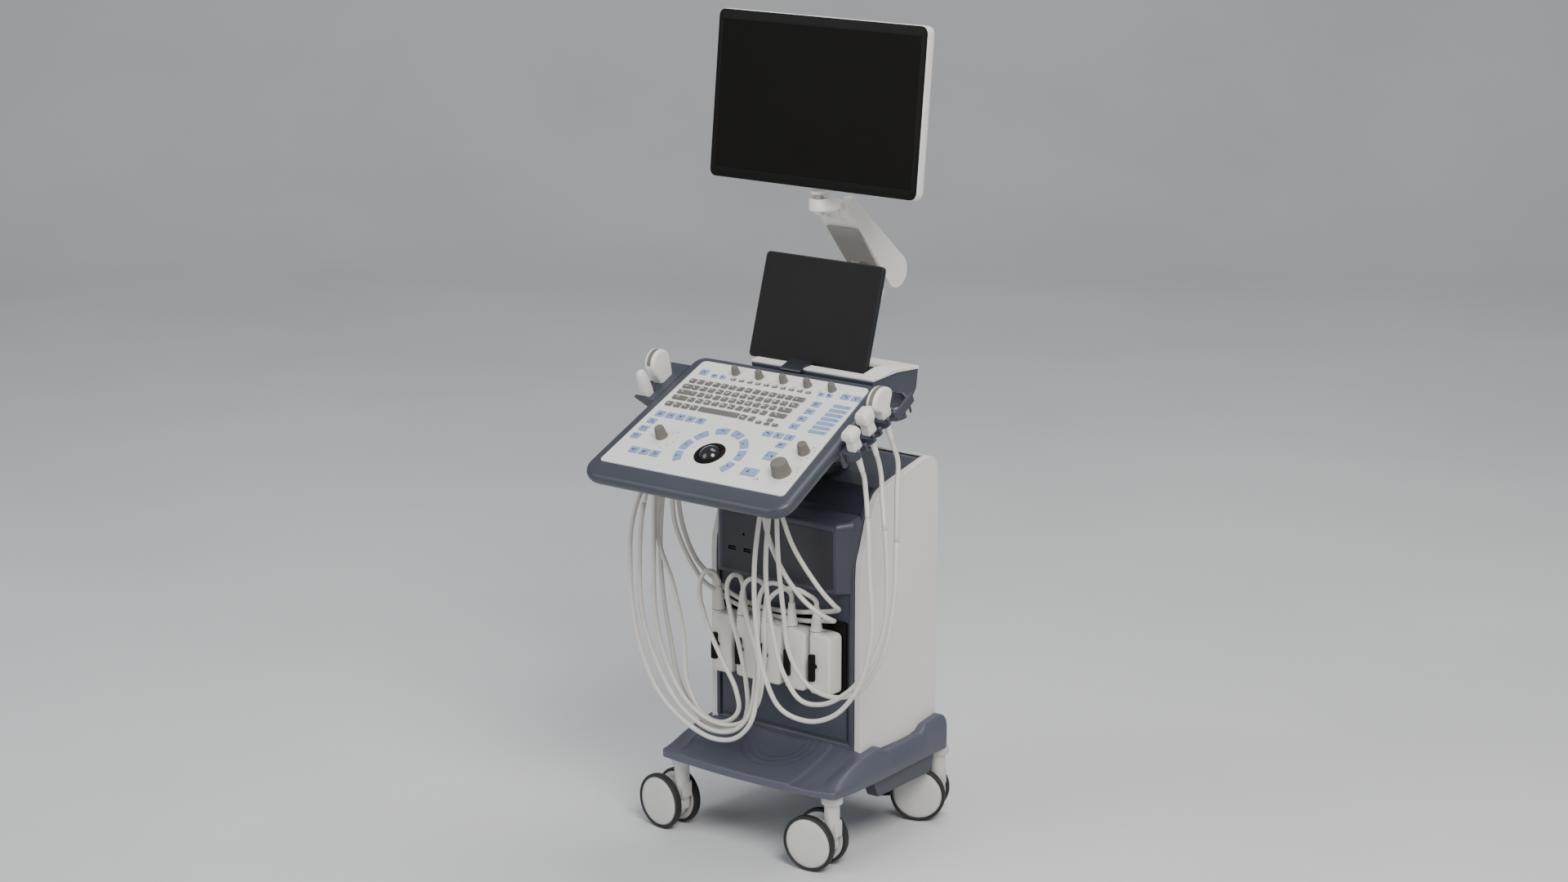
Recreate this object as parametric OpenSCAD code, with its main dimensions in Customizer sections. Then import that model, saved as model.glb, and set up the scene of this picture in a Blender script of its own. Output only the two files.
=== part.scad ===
// Cart-mounted diagnostic ultrasound scanner on four twin-wheel casters.
// Millimetres, +Z up, -Y is the operator side, origin on the floor under the
// middle of the outline.

/* [Base and casters] */
// rolling radius of a caster wheel
wheel_r = 50; // [40:1:63]
// distance from a caster stem to its axle, measured along the floor
trail = 32; // [25:1:40]
// half of the distance between left and right caster stems
stem_x = 166; // [150:1:180]
// front stem position
stem_front = -83; // [-95:1:-70]
// rear stem position
stem_rear = 238; // [225:1:245]
// underside of the base tray
tray_z = 140; // [132:1:144]

/* [Column] */
// half width over the side covers
col_x = 164; // [155:1:175]
// thickness of a side cover
cover_t = 14; // [8:1:20]
// radius of the lift column
lift_r = 35; // [30:1:40]
// centre of the lift column
lift_y = 120; // [110:1:130]
// spacing of the five probe sockets
socket_pitch = 53.5; // [50:0.5:58]

/* [Console] */
// slope of the control deck in degrees
deck_tilt = 25.5; // [15:0.5:30]
// middle of the deck, front to back
deck_y = -130; // [-140:1:-120]
// height of the middle of the deck
deck_z = 776; // [760:1:790]
// key pitch of the keyboard
key_pitch = 17.4; // [16:0.1:19]
// radius of the trackball
ball_r = 22; // [19:1:25]

/* [Monitor and arm] */
// monitor width
mon_w = 440; // [400:1:460]
// monitor height
mon_h = 292; // [270:1:310]
// backward lean of the monitor in degrees
mon_tilt = 6.2; // [0:0.1:10]
// backward lean of the touch panel in degrees
touch_tilt = 17; // [10:1:25]
// elbow height
elbow_z = 985; // [970:1:1000]
// elbow distance behind the middle of the outline
elbow_y = 267; // [260:1:268]
// radius of the rounded elbow end of the upper arm
elbow_r = 26.28; // [24:0.01:28]

/* [Probe cables] */
// radius of a probe cable
cord_r = 4.2; // [3:0.1:5]

/* [Hidden] */
$fn = 48;
slate = [0.26, 0.28, 0.35];
dark = [0.12, 0.12, 0.14];
white = [0.85, 0.84, 0.82];
grey = [0.4, 0.39, 0.37];
blue = [0.58, 0.68, 0.85];
steel = [0.6, 0.6, 0.62];

// ---------- helpers ----------
// a profile given as [y, z] points, extruded along X from x0 to x1
module yz(x0, x1) translate([x0, 0, 0]) rotate([90, 0, 90]) linear_extrude(x1 - x0)
  children();
// a round bar along X
module xbar(r, x0, x1, y, z) translate([x0, y, z]) rotate([0, 90, 0])
  cylinder(r = r, h = x1 - x0);
// a box from corner to corner
module bx(a, b) translate(a) cube([b[0] - a[0], b[1] - a[1], b[2] - a[2]]);
// deck frame: x across, y up the slope, z out of the deck
module deck() translate([0, deck_y, deck_z]) rotate([deck_tilt, 0, 0]) children();
function arc(cx, cy, r, a0, a1, n) =
  [for (i = [0 : n]) [cx + r * cos(a0 + (a1 - a0) * i / n), cy + r * sin(a0 + (a1 - a0) * i / n)]];
// rounded rectangle outline
function rrect(x0, y0, x1, y1, r, n = 6) = concat(
  arc(x1 - r, y1 - r, r, 0, 90, n), arc(x0 + r, y1 - r, r, 90, 180, n),
  arc(x0 + r, y0 + r, r, 180, 270, n), arc(x1 - r, y0 + r, r, 270, 360, n));
module flip() { children(); mirror([1, 0, 0]) children(); }

// ---------- base ----------
tray_outline = concat(
  arc(-178, -96, 14, 180, 262, 4), [[-155, -117], [-94, -123], [0, -126], [94, -123], [155, -117]],
  arc(178, -96, 14, 278, 360, 4), [[197, -60], [196, 0], [190, 190]],
  arc(162, 222, 28, 0, 90, 5), arc(-162, 222, 28, 90, 180, 5), [[-190, 190], [-196, 0], [-197, -60]]);
// upper edge of a side fender: distance along y, height
ridge = [[-103, 154], [-81, 165], [-57, 174], [-26, 183], [3, 187], [36, 191], [48, 190], [67, 177],
  [160, 181], [179, 193], [220, 200], [236, 196], [246, 170]];
module base_tray() color(slate) difference() {
  union() {
    translate([0, 0, tray_z]) linear_extrude(13) polygon(tray_outline);
    // apron that rises to the column
    yz(-164.5, 164.5) polygon([[-100, 152.5], [-60, 156], [-20, 164], [-6, 172], [0, 184], [0, 196],
      [1.9, 196], [1.9, 150]]);
    // side fenders around the side covers and the skirts under them
    flip() yz(164.2, 180) polygon(concat(ridge, [[246, 150], [-103, 150]]));
    flip() yz(179, 188) polygon([[-88, 150], [-60, 166], [40, 170], [228, 170], [236, 150]]);
    flip() yz(158, 182) polygon([[11, 142], [30, 103], [189, 104], [200, 134], [206, 142]]);
    bx([-165, 236, 150], [165, 246, 196]);
  }
  for (x = [-stem_x, stem_x], y = [stem_front, stem_rear])
    translate([x, y, tray_z - 1]) cylinder(r = 10.05, h = 11);
  // round recess step below the hanging cables
  translate([0, -62, 151.5]) cylinder(r = 40, h = 30);
}
module caster(x, y, a) translate([x, y, 0]) rotate([0, 0, a]) children();
module cylinder_z(r, z0, z1) translate([0, 0, z0]) cylinder(r = r, h = z1 - z0);
module across(r, y0, y1, x, z) translate([x, y1, z]) rotate([90, 0, 0])
  cylinder(r = r, h = y1 - y0);
module fork(pedal_lug = false) color(white) {
  cylinder_z(10, 120, tray_z + 9.5);
  cylinder_z(19, 118, tray_z - 0.5);
  cylinder_z(15, 66, 120);
  across(36, -13, 13, trail, wheel_r);
  across(5, -27, 27, trail, wheel_r);
  if (pedal_lug) {
    bx([trail + 34, -3, 43], [trail + 41, 3, 49]);
    across(2, -8, 8, trail + 41, 46);
  }
}
module wheels() color(white) for (s = [-1, 1]) translate([trail, s * 23, wheel_r])
  rotate([s * 90, 0, 0]) difference() {
    translate([0, 0, -7]) cylinder(r = wheel_r, h = 14, $fn = 64);
    translate([0, 0, -4.5]) cylinder(r = 5.05, h = 20);
  }
module brake_pedal() color(dark) translate([trail + 41, 0, 0]) difference() {
  union() {
    across(3.5, -8, 8, 0, 46);
    bx([2, -8, 40], [14, 8, 44]);
    bx([13.9, -11, 38], [28, 11, 42]);
  }
  bx([-5, -3.2, 41], [3.6, 3.2, 52]);
  across(2.05, -20, 20, 0, 46);
}

// ---------- column ----------
side_profile = [[2, 198], [2, 500], [4, 530], [16, 561], [28, 597], [41, 628], [55, 643], [75, 653],
  [110, 661], [212, 682], [222, 681], [230, 674], [232, 664], [232, 198]];
module side_cover() color(white) yz(col_x - cover_t, col_x) polygon(side_profile);
module left_side_cover() mirror([1, 0, 0]) side_cover();
module right_side_cover() side_cover();
module rear_cover() color(white) difference() {
  yz(-149.9, 149.9) polygon([[224, 198], [232, 198], [232, 664], [230, 674], [222, 681], [212, 682],
    [212, 678], [220, 674], [224, 666]]);
  for (i = [0 : 5]) bx([60, 220, 352 + 12 * i], [140, 240, 357 + 12 * i]);
  for (i = [0 : 5]) bx([-140, 220, 352 + 12 * i], [-60, 240, 357 + 12 * i]);
  bx([-24, 220, 230], [24, 240, 262]);
  // counterbores that sink the screw heads
  screw_places() translate([0, 0, -2.3]) cylinder(r = 4.3, h = 5);
}
module screw_places() for (x = [-130, 130], z = [220, 330, 460, 640])
  translate([x, 232, z]) rotate([-90, 0, 0]) children();
module top_cover() color(slate) difference() {
  yz(-149.9, 149.9) polygon([[28.1, 592], [44, 612], [58, 630], [75, 640], [110, 648], [211.9, 671],
    [211.9, 679], [110, 655], [72, 646], [54, 636], [28.1, 604]]);
  translate([0, lift_y, 600]) cylinder(r = lift_r + 3, h = 100);
}
module front_fascia() color(slate) {
  bx([-149.9, 2, 160], [149.9, 9, 473.9]);
  flip() bx([143, -2, 198], [149.9, 2, 473.9]);
}
module drive_module() color(dark) difference() {
  intersection() {
    yz(-150, 150) polygon([[-22, 474], [-22, 590], [-14, 599], [26, 606], [28, 604], [28, 474]]);
    translate([0, 0, 470]) linear_extrude(140) polygon([[-149.8, 29], [-149.8, 4], [-126, -22.5],
      [126, -22.5], [149.8, 4], [149.8, 29]]);
  }
  for (x = [-106, -72]) bx([x, -23, 517], [x + 17, -12, 524]);
  translate([-72, -12, 549]) rotate([90, 0, 0]) cylinder(r = 2.5, h = 12);
}
module socket_panel() color(dark) difference() {
  bx([-136, -4, 288], [136, 2, 420]);
  for (i = [-2 : 2]) bx([i * socket_pitch - 20, -5, 298], [i * socket_pitch + 20, -1.5, 392]);
}
module plug(c) translate([c, 0, 0]) {
  translate([0, -4, 0]) rotate([90, 0, 0]) linear_extrude(38)
    polygon(concat([[-22, 294], [22, 294]], arc(10, 388, 12, 0, 90, 5), [[-2, 402], [-22, 402]]));
  translate([-14, -31, 400]) rotate_extrude($fn = 32)
    polygon([[0, 0], [10, 0], [10, 8], [6.5, 34], [5.5, 48], [0, 48]]);
}
module probe_plugs() color(white) for (i = [-2 : 2]) plug(i * socket_pitch);
module plug_locks() color(dark) for (i = [-2 : 2]) {
  bx([i * socket_pitch - 19, -49, 318], [i * socket_pitch - 8, -42, 366]);
}
module power_supply() color(steel) bx([60, 30, 200], [140, 200, 290]);
module electronics_rack() color([0.1, 0.35, 0.2]) {
  for (i = [0 : 4]) bx([-140 + 18 * i, 40, 220], [-137 + 18 * i, 200.1, 480]);
  bx([-144, 200, 200], [-60, 204, 484]);
}
module chassis_frame() color(steel) {
  difference() {
    translate([0, lift_y, 153]) cylinder(r = 45, h = 483);
    translate([0, lift_y, 385]) cylinder(r = lift_r + 0.05, h = 300);
  }
  difference() {
    union() {
      bx([-149.8, 12, 196], [149.8, 222, 200]);
      bx([-149.8, 90, 580], [149.8, 150, 584]);
    }
    translate([0, lift_y, 190]) cylinder(r = 44, h = 450);
  }
}
module cover_screws() color(steel) screw_places() translate([0, 0, -2.3]) difference() {
    cylinder(r = 4, h = 2.2);
    translate([0, 0, 1]) cylinder(r = 1.8, h = 2, $fn = 6);
  }
module fan_rotor() color(dark) translate([100, 212, 385]) rotate([90, 0, 0]) {
  cylinder(r = 14, h = 14, center = true);
  for (a = [0 : 60 : 300]) rotate([0, 0, a]) translate([24, 0, 0]) rotate([32, 0, 0])
    cube([24, 16, 1.6], center = true);
}

// ---------- console ----------
module lift_column() color(steel) translate([0, lift_y, 430]) cylinder(r = lift_r, h = 342);
function half(v) = 211 - 0.05 * v;
module shell_layer(h, e) translate([0, 0, h]) for (s = [-1, 1]) {
  translate([s * (half(-147) - 38), -147, 0]) cylinder(r = 38 - e, h = 0.5, $fn = 32);
  translate([s * (half(140) - 25), 140, 0]) cylinder(r = 25 - e, h = 0.5, $fn = 32);
}
module console_shell() color(slate) {
  deck() difference() {
    union() {
      hull() for (e = [[-28, 12], [-20, 3], [-14, 0], [-7, 1], [-0.5, 6]]) shell_layer(e[0], e[1]);
      translate([-3, -81, -36]) cylinder(r = 27, h = 10);
    }
    // seat for the deck
    translate([0, 0, -8]) linear_extrude(20) polygon([[-197.2, -148], [197.2, -148],
      [181.2, 149], [-181.2, 149]]);
    translate([-3, -81, -9]) sphere(r = ball_r + 0.4);
  }
  // stand under the rear of the console, on the lift column
  yz(-120, 120) polygon([[150, 772], [150, 799], [30, 799], [20, 819], [-10, 806], [-10, 776],
    [60, 772]]);
  // pegs that carry the probe cables under the console: x, front end, rear end
  for (p = [[45, -146, -56], [-190, -120, -56]]) {
    translate([p[0], p[2], 712]) rotate([90, 0, 0]) cylinder(r = 5.3, h = p[2] - p[1]);
    bx([p[0] - 4, p[1], 708], [p[0] + 4, p[1] + 5, deck_z - 27 + (p[1] - deck_y) * tan(deck_tilt)]);
    bx([p[0] - 4, p[2] - 5, 708], [p[0] + 4, p[2], deck_z - 28 + (p[2] - deck_y) * tan(deck_tilt)]);
  }
}
module console_deck() color(white) deck() difference() {
  translate([0, 0, -8]) linear_extrude(8.8) polygon(concat(
    arc(-188.6, -140, 7, 180, 270, 4), arc(188.6, -140, 7, 270, 360, 4),
    arc(169.5, 138, 10, 0, 90, 4), arc(-169.5, 138, 10, 90, 180, 4)));
  translate([-3, -81, -9]) cylinder(r = ball_r + 0.4, h = 20);
  for (p = knobs) translate([p[0], p[1], -9]) cylinder(r = 3.05, h = 20, $fn = 24);
}
// knob positions on the deck: across, up the slope, radius, height
knobs = [[-93, 128, 7.6, 17], [-41.5, 128, 7.6, 17], [10.5, 128, 7.6, 17], [62, 128, 7.6, 17],
  [114, 128, 7.6, 17], [-120, -62, 10.8, 22], [165, -36, 10.8, 21], [158, -94, 17, 25]];
module knob(i) color(grey) deck() translate([knobs[i][0], knobs[i][1], 1.2]) {
  cylinder(r1 = knobs[i][2], r2 = knobs[i][2] * 0.72, h = knobs[i][3], $fn = 32);
  translate([0, 0, -6]) cylinder(r = 3, h = 8, $fn = 24);
}
module rear_housing() color(white) {
  difference() {
    yz(-170, 170) polygon([[32.4, 821.5], [20.7, 846], [94, 855], [140, 850.5], [165, 849.5],
      [159, 812], [148, 799.1], [60, 799.1]]);
    bx([-131, 18, 839], [131, 108, 870]);
    // the left end slants away behind the touch panel
    translate([0, 0, 790]) linear_extrude(80) polygon([[-88, 10], [-120, 170], [-180, 170], [-180, 10]]);
  }
  difference() {
    translate([0, 180, 799.1]) cylinder(r = 36, h = 52);
    bx([-50, 100, 790], [50, 152, 870]);
    translate([0, 180, 815]) cylinder(r = 12.05, h = 50);
  }
}
module left_rack() color(slate) deck() difference() {
  translate([0, 0, -24]) linear_extrude(22) polygon([[-half(27) - 0.1, 27], [-251.03, 27],
    [-246, 133], [-half(133) - 0.1, 133]]);
  bx([-260, 33, -30], [-219, 54, 5]);
  bx([-260, 76, -30], [-219, 104, 5]);
}
cups = [[12, 17, 12], [57, 17, 12], [103, 19, 12]];
module right_rack() color(slate) deck() {
  // rail along the side of the console
  difference() {
    translate([0, 0, -44]) linear_extrude(30) polygon([[half(-8) + 0.1, -8], [217.5, -8],
      [215.5, 172], [half(165) + 0.1, 165]]);
    translate([222, 151.5, -50]) cylinder(r = 19.5, h = 80);
  }
  for (c = cups) difference() {
    union() {
      translate([233, c[0], -44]) cylinder(r = c[1], h = 24);
      bx([215.6, c[0] - 10, -44], [225, c[0] + 10, -20]);
    }
    translate([233, c[0], -50]) cylinder(r = c[2], h = 40);
    bx([233, c[0] - 6, -50], [260, c[0] + 6, -10]);
  }
  // spare open holder behind the probes
  difference() {
    union() {
      translate([222, 151.5, -46]) cylinder(r = 23, h = 44);
      bx([200, 142, -44], [215, 160, -30]);
    }
    translate([222, 151.5, -50]) cylinder(r = 19.5, h = 80);
    bx([226, 100, -18], [260, 200, 20]);
    bx([228, 144.5, -50], [260, 158.5, 20]);
    bx([150, 100, -27.9], [half(130) + 0.5, 200, 20]);
  }
}
module touch_bracket() color(dark) difference() {
  union() {
    bx([-22, 34, 839], [22, 92, 843]);
    yz(-22, 22) polygon([[18, 848], [22, 851], [50, 849.5], [54, 843], [40, 843], [23.5, 846]]);
    flip() yz(12.5, 22) polygon([[76, 843], [90, 843], [90, 858], [86, 862], [81, 862], [77, 852]]);
  }
  xbar(3, -30, 30, 84, 856);
}
module touch() translate([0, 84, 856]) rotate([-touch_tilt, 0, 0]) children();
module touch_panel() color(dark) {
  touch() {
    translate([0, -17.65, -14.1]) rotate([-90, 0, 0]) mirror([0, 1, 0])
      linear_extrude(9) polygon(rrect(-126, 0, 126, 184, 8));
    bx([-12, -8.7, -1.5], [12, 2.5, 12]);
    bx([-40, -8.7, 20], [40, 0, 140]);
  }
  xbar(5, -11.5, 11.5, 84, 856);
  xbar(2.95, -21.5, 21.5, 84, 856);
}
module keycap(u, v, w, d, h0, h1) bx([u - w / 2, v - d / 2, h0], [u + w / 2, v + d / 2, h1]);
rows = [[-160.5, 89.5, 13, 13.4], [-142.5, 73, 12, 13.4], [-138, 57, 11, 13.4], [-129.5, 41, 10, 13.4]];
wide = [[69.5, 89.5, 23], [-160.5, 73, 20], [69.5, 73, 18], [-158, 57, 25], [61.5, 57, 27],
  [-155, 41, 31], [58, 41, 34]];
module typing_keys() color(grey) deck() {
  for (r = rows, i = [0 : r[2] - 1]) keycap(r[0] + i * key_pitch, r[1], r[3], 11, 2.1, 4.2);
  for (w = wide) keycap(w[0], w[1], w[2], 11, 2.1, 4.2);
  for (u = [-164.5, -146.5, -128.5, -110.5]) keycap(u, 22, 14.5, 12, 2.1, 4.2);
  keycap(-56, 22, 86, 12, 2.1, 4.2);
  keycap(-2.7, 21, 14, 12, 2.1, 4.2);
  keycap(15.5, 21, 12, 12, 2.1, 4.2);
  for (p = [[34, 15.5], [51.5, 15.5], [69, 15.5], [51.5, 26]]) keycap(p[0], p[1], 12, 7.5, 2.1, 4.2);
  for (i = [0 : 9]) keycap(-87 + 17.95 * i, 111, 11, 6, 2.1, 3.4);
}
soft = [[-156, 117, 17, 15], [-129.5, 112, 12, 9], [-111.5, 112, 12, 9], [100.5, 112, 12, 9],
  [118, 112, 12, 9], [149.5, 116, 19, 14], [172, 116, 19, 14], [108.5, 85.5, 18, 14],
  [108, 64.5, 18, 14], [107, 43.5, 18, 14], [105.5, 22, 18, 14], [69.5, -7.5, 19, 14],
  [92, -7.5, 19, 14], [114.5, -7.5, 19, 14], [112.5, -29.5, 18, 14], [110, -60, 20, 22],
  [100.5, -107, 32, 20], [-163, -7, 18, 15], [-141, -7, 18, 15], [-119, -7, 18, 15],
  [-97, -7, 18, 15], [-75, -7, 18, 15], [-166, -28.5, 18, 14], [-168, -50.5, 18, 14],
  [-170, -72, 18, 14], [-147.5, -107, 19, 16], [-125, -107, 19, 16], [-102.5, -107, 19, 16]];
module soft_keys() color(blue) deck() {
  for (s = soft) keycap(s[0], s[1], s[2], s[3], 1.9, 3);
  for (i = [0 : 6]) keycap(160 - 0.75 * i, 89.5 - 12 * i, 36, 8, 1.9, 3);
  for (a = [201, 171, 140, 104, 71, 38, 7, -25]) translate([-2, -80, 1.9]) rotate([0, 0, a])
    linear_extrude(1.1) polygon(concat(arc(0, 0, 52, -11.5, 11.5, 4), arc(0, 0, 66, 11.5, -11.5, 4)));
}
module trackball() color(dark) deck() translate([-3, -81, -9]) sphere(r = ball_r, $fn = 40);

// ---------- monitor arm ----------
module lower_arm() color(white) difference() {
  union() {
    translate([0, 180, 851.1]) cylinder(r = 33, h = 13);
    translate([0, 180, 818]) cylinder(r = 12, h = 36);
    yz(-21.5, 21.5) polygon(concat([[160, 862], [212, 862]], arc(elbow_y, elbow_z, 20, -35, 145, 12)));
  }
  xbar(8.05, -40, 40, elbow_y, elbow_z);
}
module upper_arm() color(white) {
  difference() {
    yz(-36, 36) polygon(concat(arc(elbow_y, elbow_z, elbow_r, -135, 45, 12),
      [[158, 1133], [142, 1133], [128, 1117], [128, 1107], [143, 1092]]));
    // clevis for the lower arm
    yz(-22, 22) polygon([[220, 940], [220, 1002], [240, 1022], [290, 1022], [300, 940]]);
    // clevis for the head
    yz(-22, 22) polygon([[110, 1080], [141, 1080], [176, 1112], [166, 1150], [110, 1150]]);
  }
  xbar(8, -35, 35, elbow_y, elbow_z);
  xbar(5, -35, 35, 146, 1112);
}
module arm_head() color(white) difference() {
  union() {
    yz(-21.5, 21.5) polygon(concat([[92, 1134], [100, 1116], [128, 1104]],
      arc(146, 1112, 12, -110, 70, 8), [[128, 1134]]));
    hull() {
      translate([0, 98, 1116]) cylinder(r = 18, h = 18);
      yz(-17, 17) polygon([[98, 1113], [98, 1134], [118, 1134], [122, 1124], [104, 1113]]);
    }
  }
  translate([0, 98, 1100]) cylinder(r = 9.05, h = 50);
  xbar(5.05, -40, 40, 146, 1112);
  bx([-40, 124, 1090], [-21.6, 170, 1150]);
  bx([21.6, 124, 1090], [40, 170, 1150]);
}
module monitor_neck() {
  color(steel) translate([0, 98, 1116]) cylinder(r = 9, h = 27);
  color(white) difference() {
    union() {
      translate([0, 98, 1142]) cylinder(r = 14, h = 6);
      bx([-13, 98, 1142], [13, 118, 1148]);
      bx([-13, 114, 1142], [13, 144, 1150]);
      bx([-13, 134, 1145], [13, 144, 1226]);
      xbar(10, -15, 15, 126, 1236);
      yz(-15, 15) polygon([[134, 1200], [144, 1226], [136, 1238], [126, 1238], [126, 1228]]);
    }
    xbar(4.05, -30, 30, 126, 1236);
  }
}
module mon() translate([0, 88, 1300]) rotate([-mon_tilt, 0, 0]) children();
module monitor_housing() color(white) difference() {
  union() {
    mon() {
      rotate([-90, 0, 0]) linear_extrude(25)
        polygon(rrect(-mon_w / 2, -mon_h / 2, mon_w / 2, mon_h / 2, 14));
      bx([-120, 25, -26], [120, 38, 110]);
      flip() bx([15.5, 25, -76], [27, 38, -50]);
    }
    flip() xbar(10, 15.5, 27, 126, 1236);
  }
  // pocket for the screen
  mon() bx([-209, -1, -128.5], [209, 3, 128.5]);
  flip() xbar(4, 13, 24, 126, 1236);
}
module monitor_screen() {
  color(dark) mon() bx([-208.9, 0.6, -128.4], [208.9, 2.9, 128.4]);
}

// ---------- probes ----------
module handle(w, d, h0) {
  translate([0, 0, h0]) linear_extrude(-h0 - 20) circle(r = 11, $fn = 32);
  translate([0, 0, -20]) linear_extrude(26) polygon(rrect(-d / 2, -w / 2, d / 2, w / 2, 4, 3));
  translate([0, 0, h0 - 14]) cylinder(r1 = 5, r2 = 8, h = 14, $fn = 24);
}
module convex_head(t, h) translate([-t / 2, 0, h]) rotate([90, 0, 90]) linear_extrude(t)
  polygon(concat([[-13, 0], [13, 0], [20, 12], [26, 22]], arc(0, 12, 30, 28, 152, 10),
    [[-26, 22], [-20, 12]]));
module convex_lens(h) translate([-5, 0, h]) rotate([90, 0, 90]) linear_extrude(10)
  polygon(concat(arc(0, 12, 30.1, 40, 140, 10), arc(0, 12, 31.3, 140, 40, 10)));
module box_head(w, d, h0, h1) translate([0, 0, h0]) linear_extrude(h1 - h0)
  polygon(rrect(-d / 2, -w / 2, d / 2, w / 2, 5, 3));
module probe_right_1() deck() translate([233, cups[0][0], 0]) {
  color(white) { handle(24, 20, -46); box_head(34, 24, 6, 28); }
  color(grey) translate([-5, -13, 28.05]) cube([10, 26, 1]);
}
module probe_right_2() deck() translate([233, cups[1][0], 0]) {
  color(white) { handle(24, 20, -46); box_head(34, 24, 6, 34); }
  color(grey) translate([-5, -13, 34.05]) cube([10, 26, 1]);
}
module probe_right_convex() deck() translate([233, cups[2][0], 0]) {
  color(white) { handle(26, 20, -46); convex_head(21, 0); }
  color(grey) convex_lens(0);
}
module probe_left_convex() deck() translate([-231, 90, 0]) {
  color(white) {
    translate([0, 0, -70]) linear_extrude(70) polygon(rrect(-10.5, -13, 10.5, 13, 4, 3));
    translate([0, 0, -1.95]) linear_extrude(8) polygon(rrect(-10.5, -17, 10.5, 17, 3, 3));
    convex_head(21, 6);
    translate([0, 0, -84]) cylinder(r1 = 5, r2 = 8, h = 14, $fn = 24);
  }
  color(grey) convex_lens(6);
}
module probe_left_small() deck() translate([-231, 43.5, 0]) {
  color(white) {
    translate([0, 0, -66]) linear_extrude(66) polygon(rrect(-8, -9.5, 8, 9.5, 4, 3));
    translate([0, 0, -1.95]) linear_extrude(46) polygon(rrect(-8.5, -12, 8.5, 12, 5, 3));
    translate([0, 0, -80]) cylinder(r1 = 5, r2 = 8, h = 14, $fn = 24);
  }
  color(grey) translate([-4, -7, 44.1]) cube([8, 14, 1]);
}
// ---------- probe cables ----------
function dk(u, v, h) = [u, deck_y + v * cos(deck_tilt) - h * sin(deck_tilt),
  deck_z + v * sin(deck_tilt) + h * cos(deck_tilt)];
function rx(v, h) = dk(233, v, h);
function lx(v, h) = dk(-231, v, h);
function unit(v) = v / norm(v);
// tangent at a point, leaning to the shorter neighbour
function tang(P, i) = i == 0 ? unit(P[1] - P[0]) : i == len(P) - 1 ? unit(P[i] - P[i - 1]) :
  unit(unit(P[i + 1] - P[i]) * norm(P[i] - P[i - 1]) + unit(P[i] - P[i - 1]) * norm(P[i + 1] - P[i]));
function herm(P, i, t) = let (L = norm(P[i + 1] - P[i]), a = tang(P, i) * L, b = tang(P, i + 1) * L,
  s = t * t, c = s * t) (2 * c - 3 * s + 1) * P[i] + (c - 2 * s + t) * a + (3 * s - 2 * c) * P[i + 1]
  + (c - s) * b;
function path(P) = [for (i = [0 : len(P) - 1]) each (i < len(P) - 1 && norm(P[i + 1] - P[i]) > 45
  ? [P[i], herm(P, i, 0.5)] : [P[i]])];
function side(Q, i) = i == 0 ? Q[1] - Q[0] : i == len(Q) - 1 ? Q[i] - Q[i - 1] : Q[i + 1] - Q[i - 1];
function perp(t, n) = unit(n - (n * t) * t);
module sweep(P, r, k = 8) {
  Q = path(P);
  T = [for (i = [0 : len(Q) - 1]) unit(side(Q, i))];
  N = [for (i = 0, n = perp(T[0], [1, 0.1, 0]); i < len(Q); i = i + 1,
    n = i < len(Q) ? perp(T[i], n) : n) n];
  pts = [for (i = [0 : len(Q) - 1]) for (j = [0 : k - 1])
    Q[i] + r * (cos(360 * j / k) * N[i] + sin(360 * j / k) * cross(T[i], N[i]))];
  polyhedron(pts, concat([[for (j = [0 : k - 1]) j]],
    [for (i = [0 : len(Q) - 2]) for (j = [0 : k - 1]) for (f = [0, 1])
      let (a = i * k + j, b = i * k + (j + 1) % k) f == 0 ? [a, a + k, b] : [b, a + k, b + k]],
    [[for (j = [k - 1 : -1 : 0]) (len(Q) - 1) * k + j]]));
}
cord_rc = [rx(103, -60), rx(103, -72), [239, 0, 728], [251, -18, 685], [266, -40, 596], [276, -60, 499],
  [254, -70, 388], [205, -74, 325], [160, -76, 311], [112, -80, 323], [78, -85, 369], [66, -90, 451],
  [60, -96, 540], [57, -97, 620], [55.4, -95, 695], [55.4, -95, 712], [52.35, -95, 719.35],
  [45, -95, 722.4], [37.65, -95, 719.35], [34.6, -95, 712], [35, -93, 695], [41, -84, 655], [52, -76, 615],
  [66, -64, 562], [98, -56, 512], [126, -51, 480], [136, -38, 461], [132, -20, 448], [116, -13, 441],
  [80, -13, 433], [30, -13, 424], [-20, -13, 420], [-73, -13, 423], [-100, -13, 430], [-121, -14, 440],
  [-141, -20, 456], [-163, -31, 480], [-184, -48, 540], [-188, -60, 604], [-181, -68, 670],
  [-179.6, -70, 700], [-179.6, -70, 712], [-182.65, -70, 719.35], [-190, -70, 722.4],
  [-197.35, -70, 719.35], [-200.4, -70, 712], [-201, -71, 695], [-205, -82, 610], [-207, -87, 483],
  [-188, -87, 360], [-153, -87, 252], [-110, -87, 216], [-60, -87, 210], [-28, -87, 225], [-16, -86, 256],
  [-22, -81, 300], [-42, -74, 360], [-66, -69, 420], [-76, -65, 452], [-77, -62, 470], [-71, -56, 482],
  [-67.5, -44, 480], [-67.5, -34, 466], [-67.5, -31, 456], [-67.5, -31, 448]];
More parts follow.
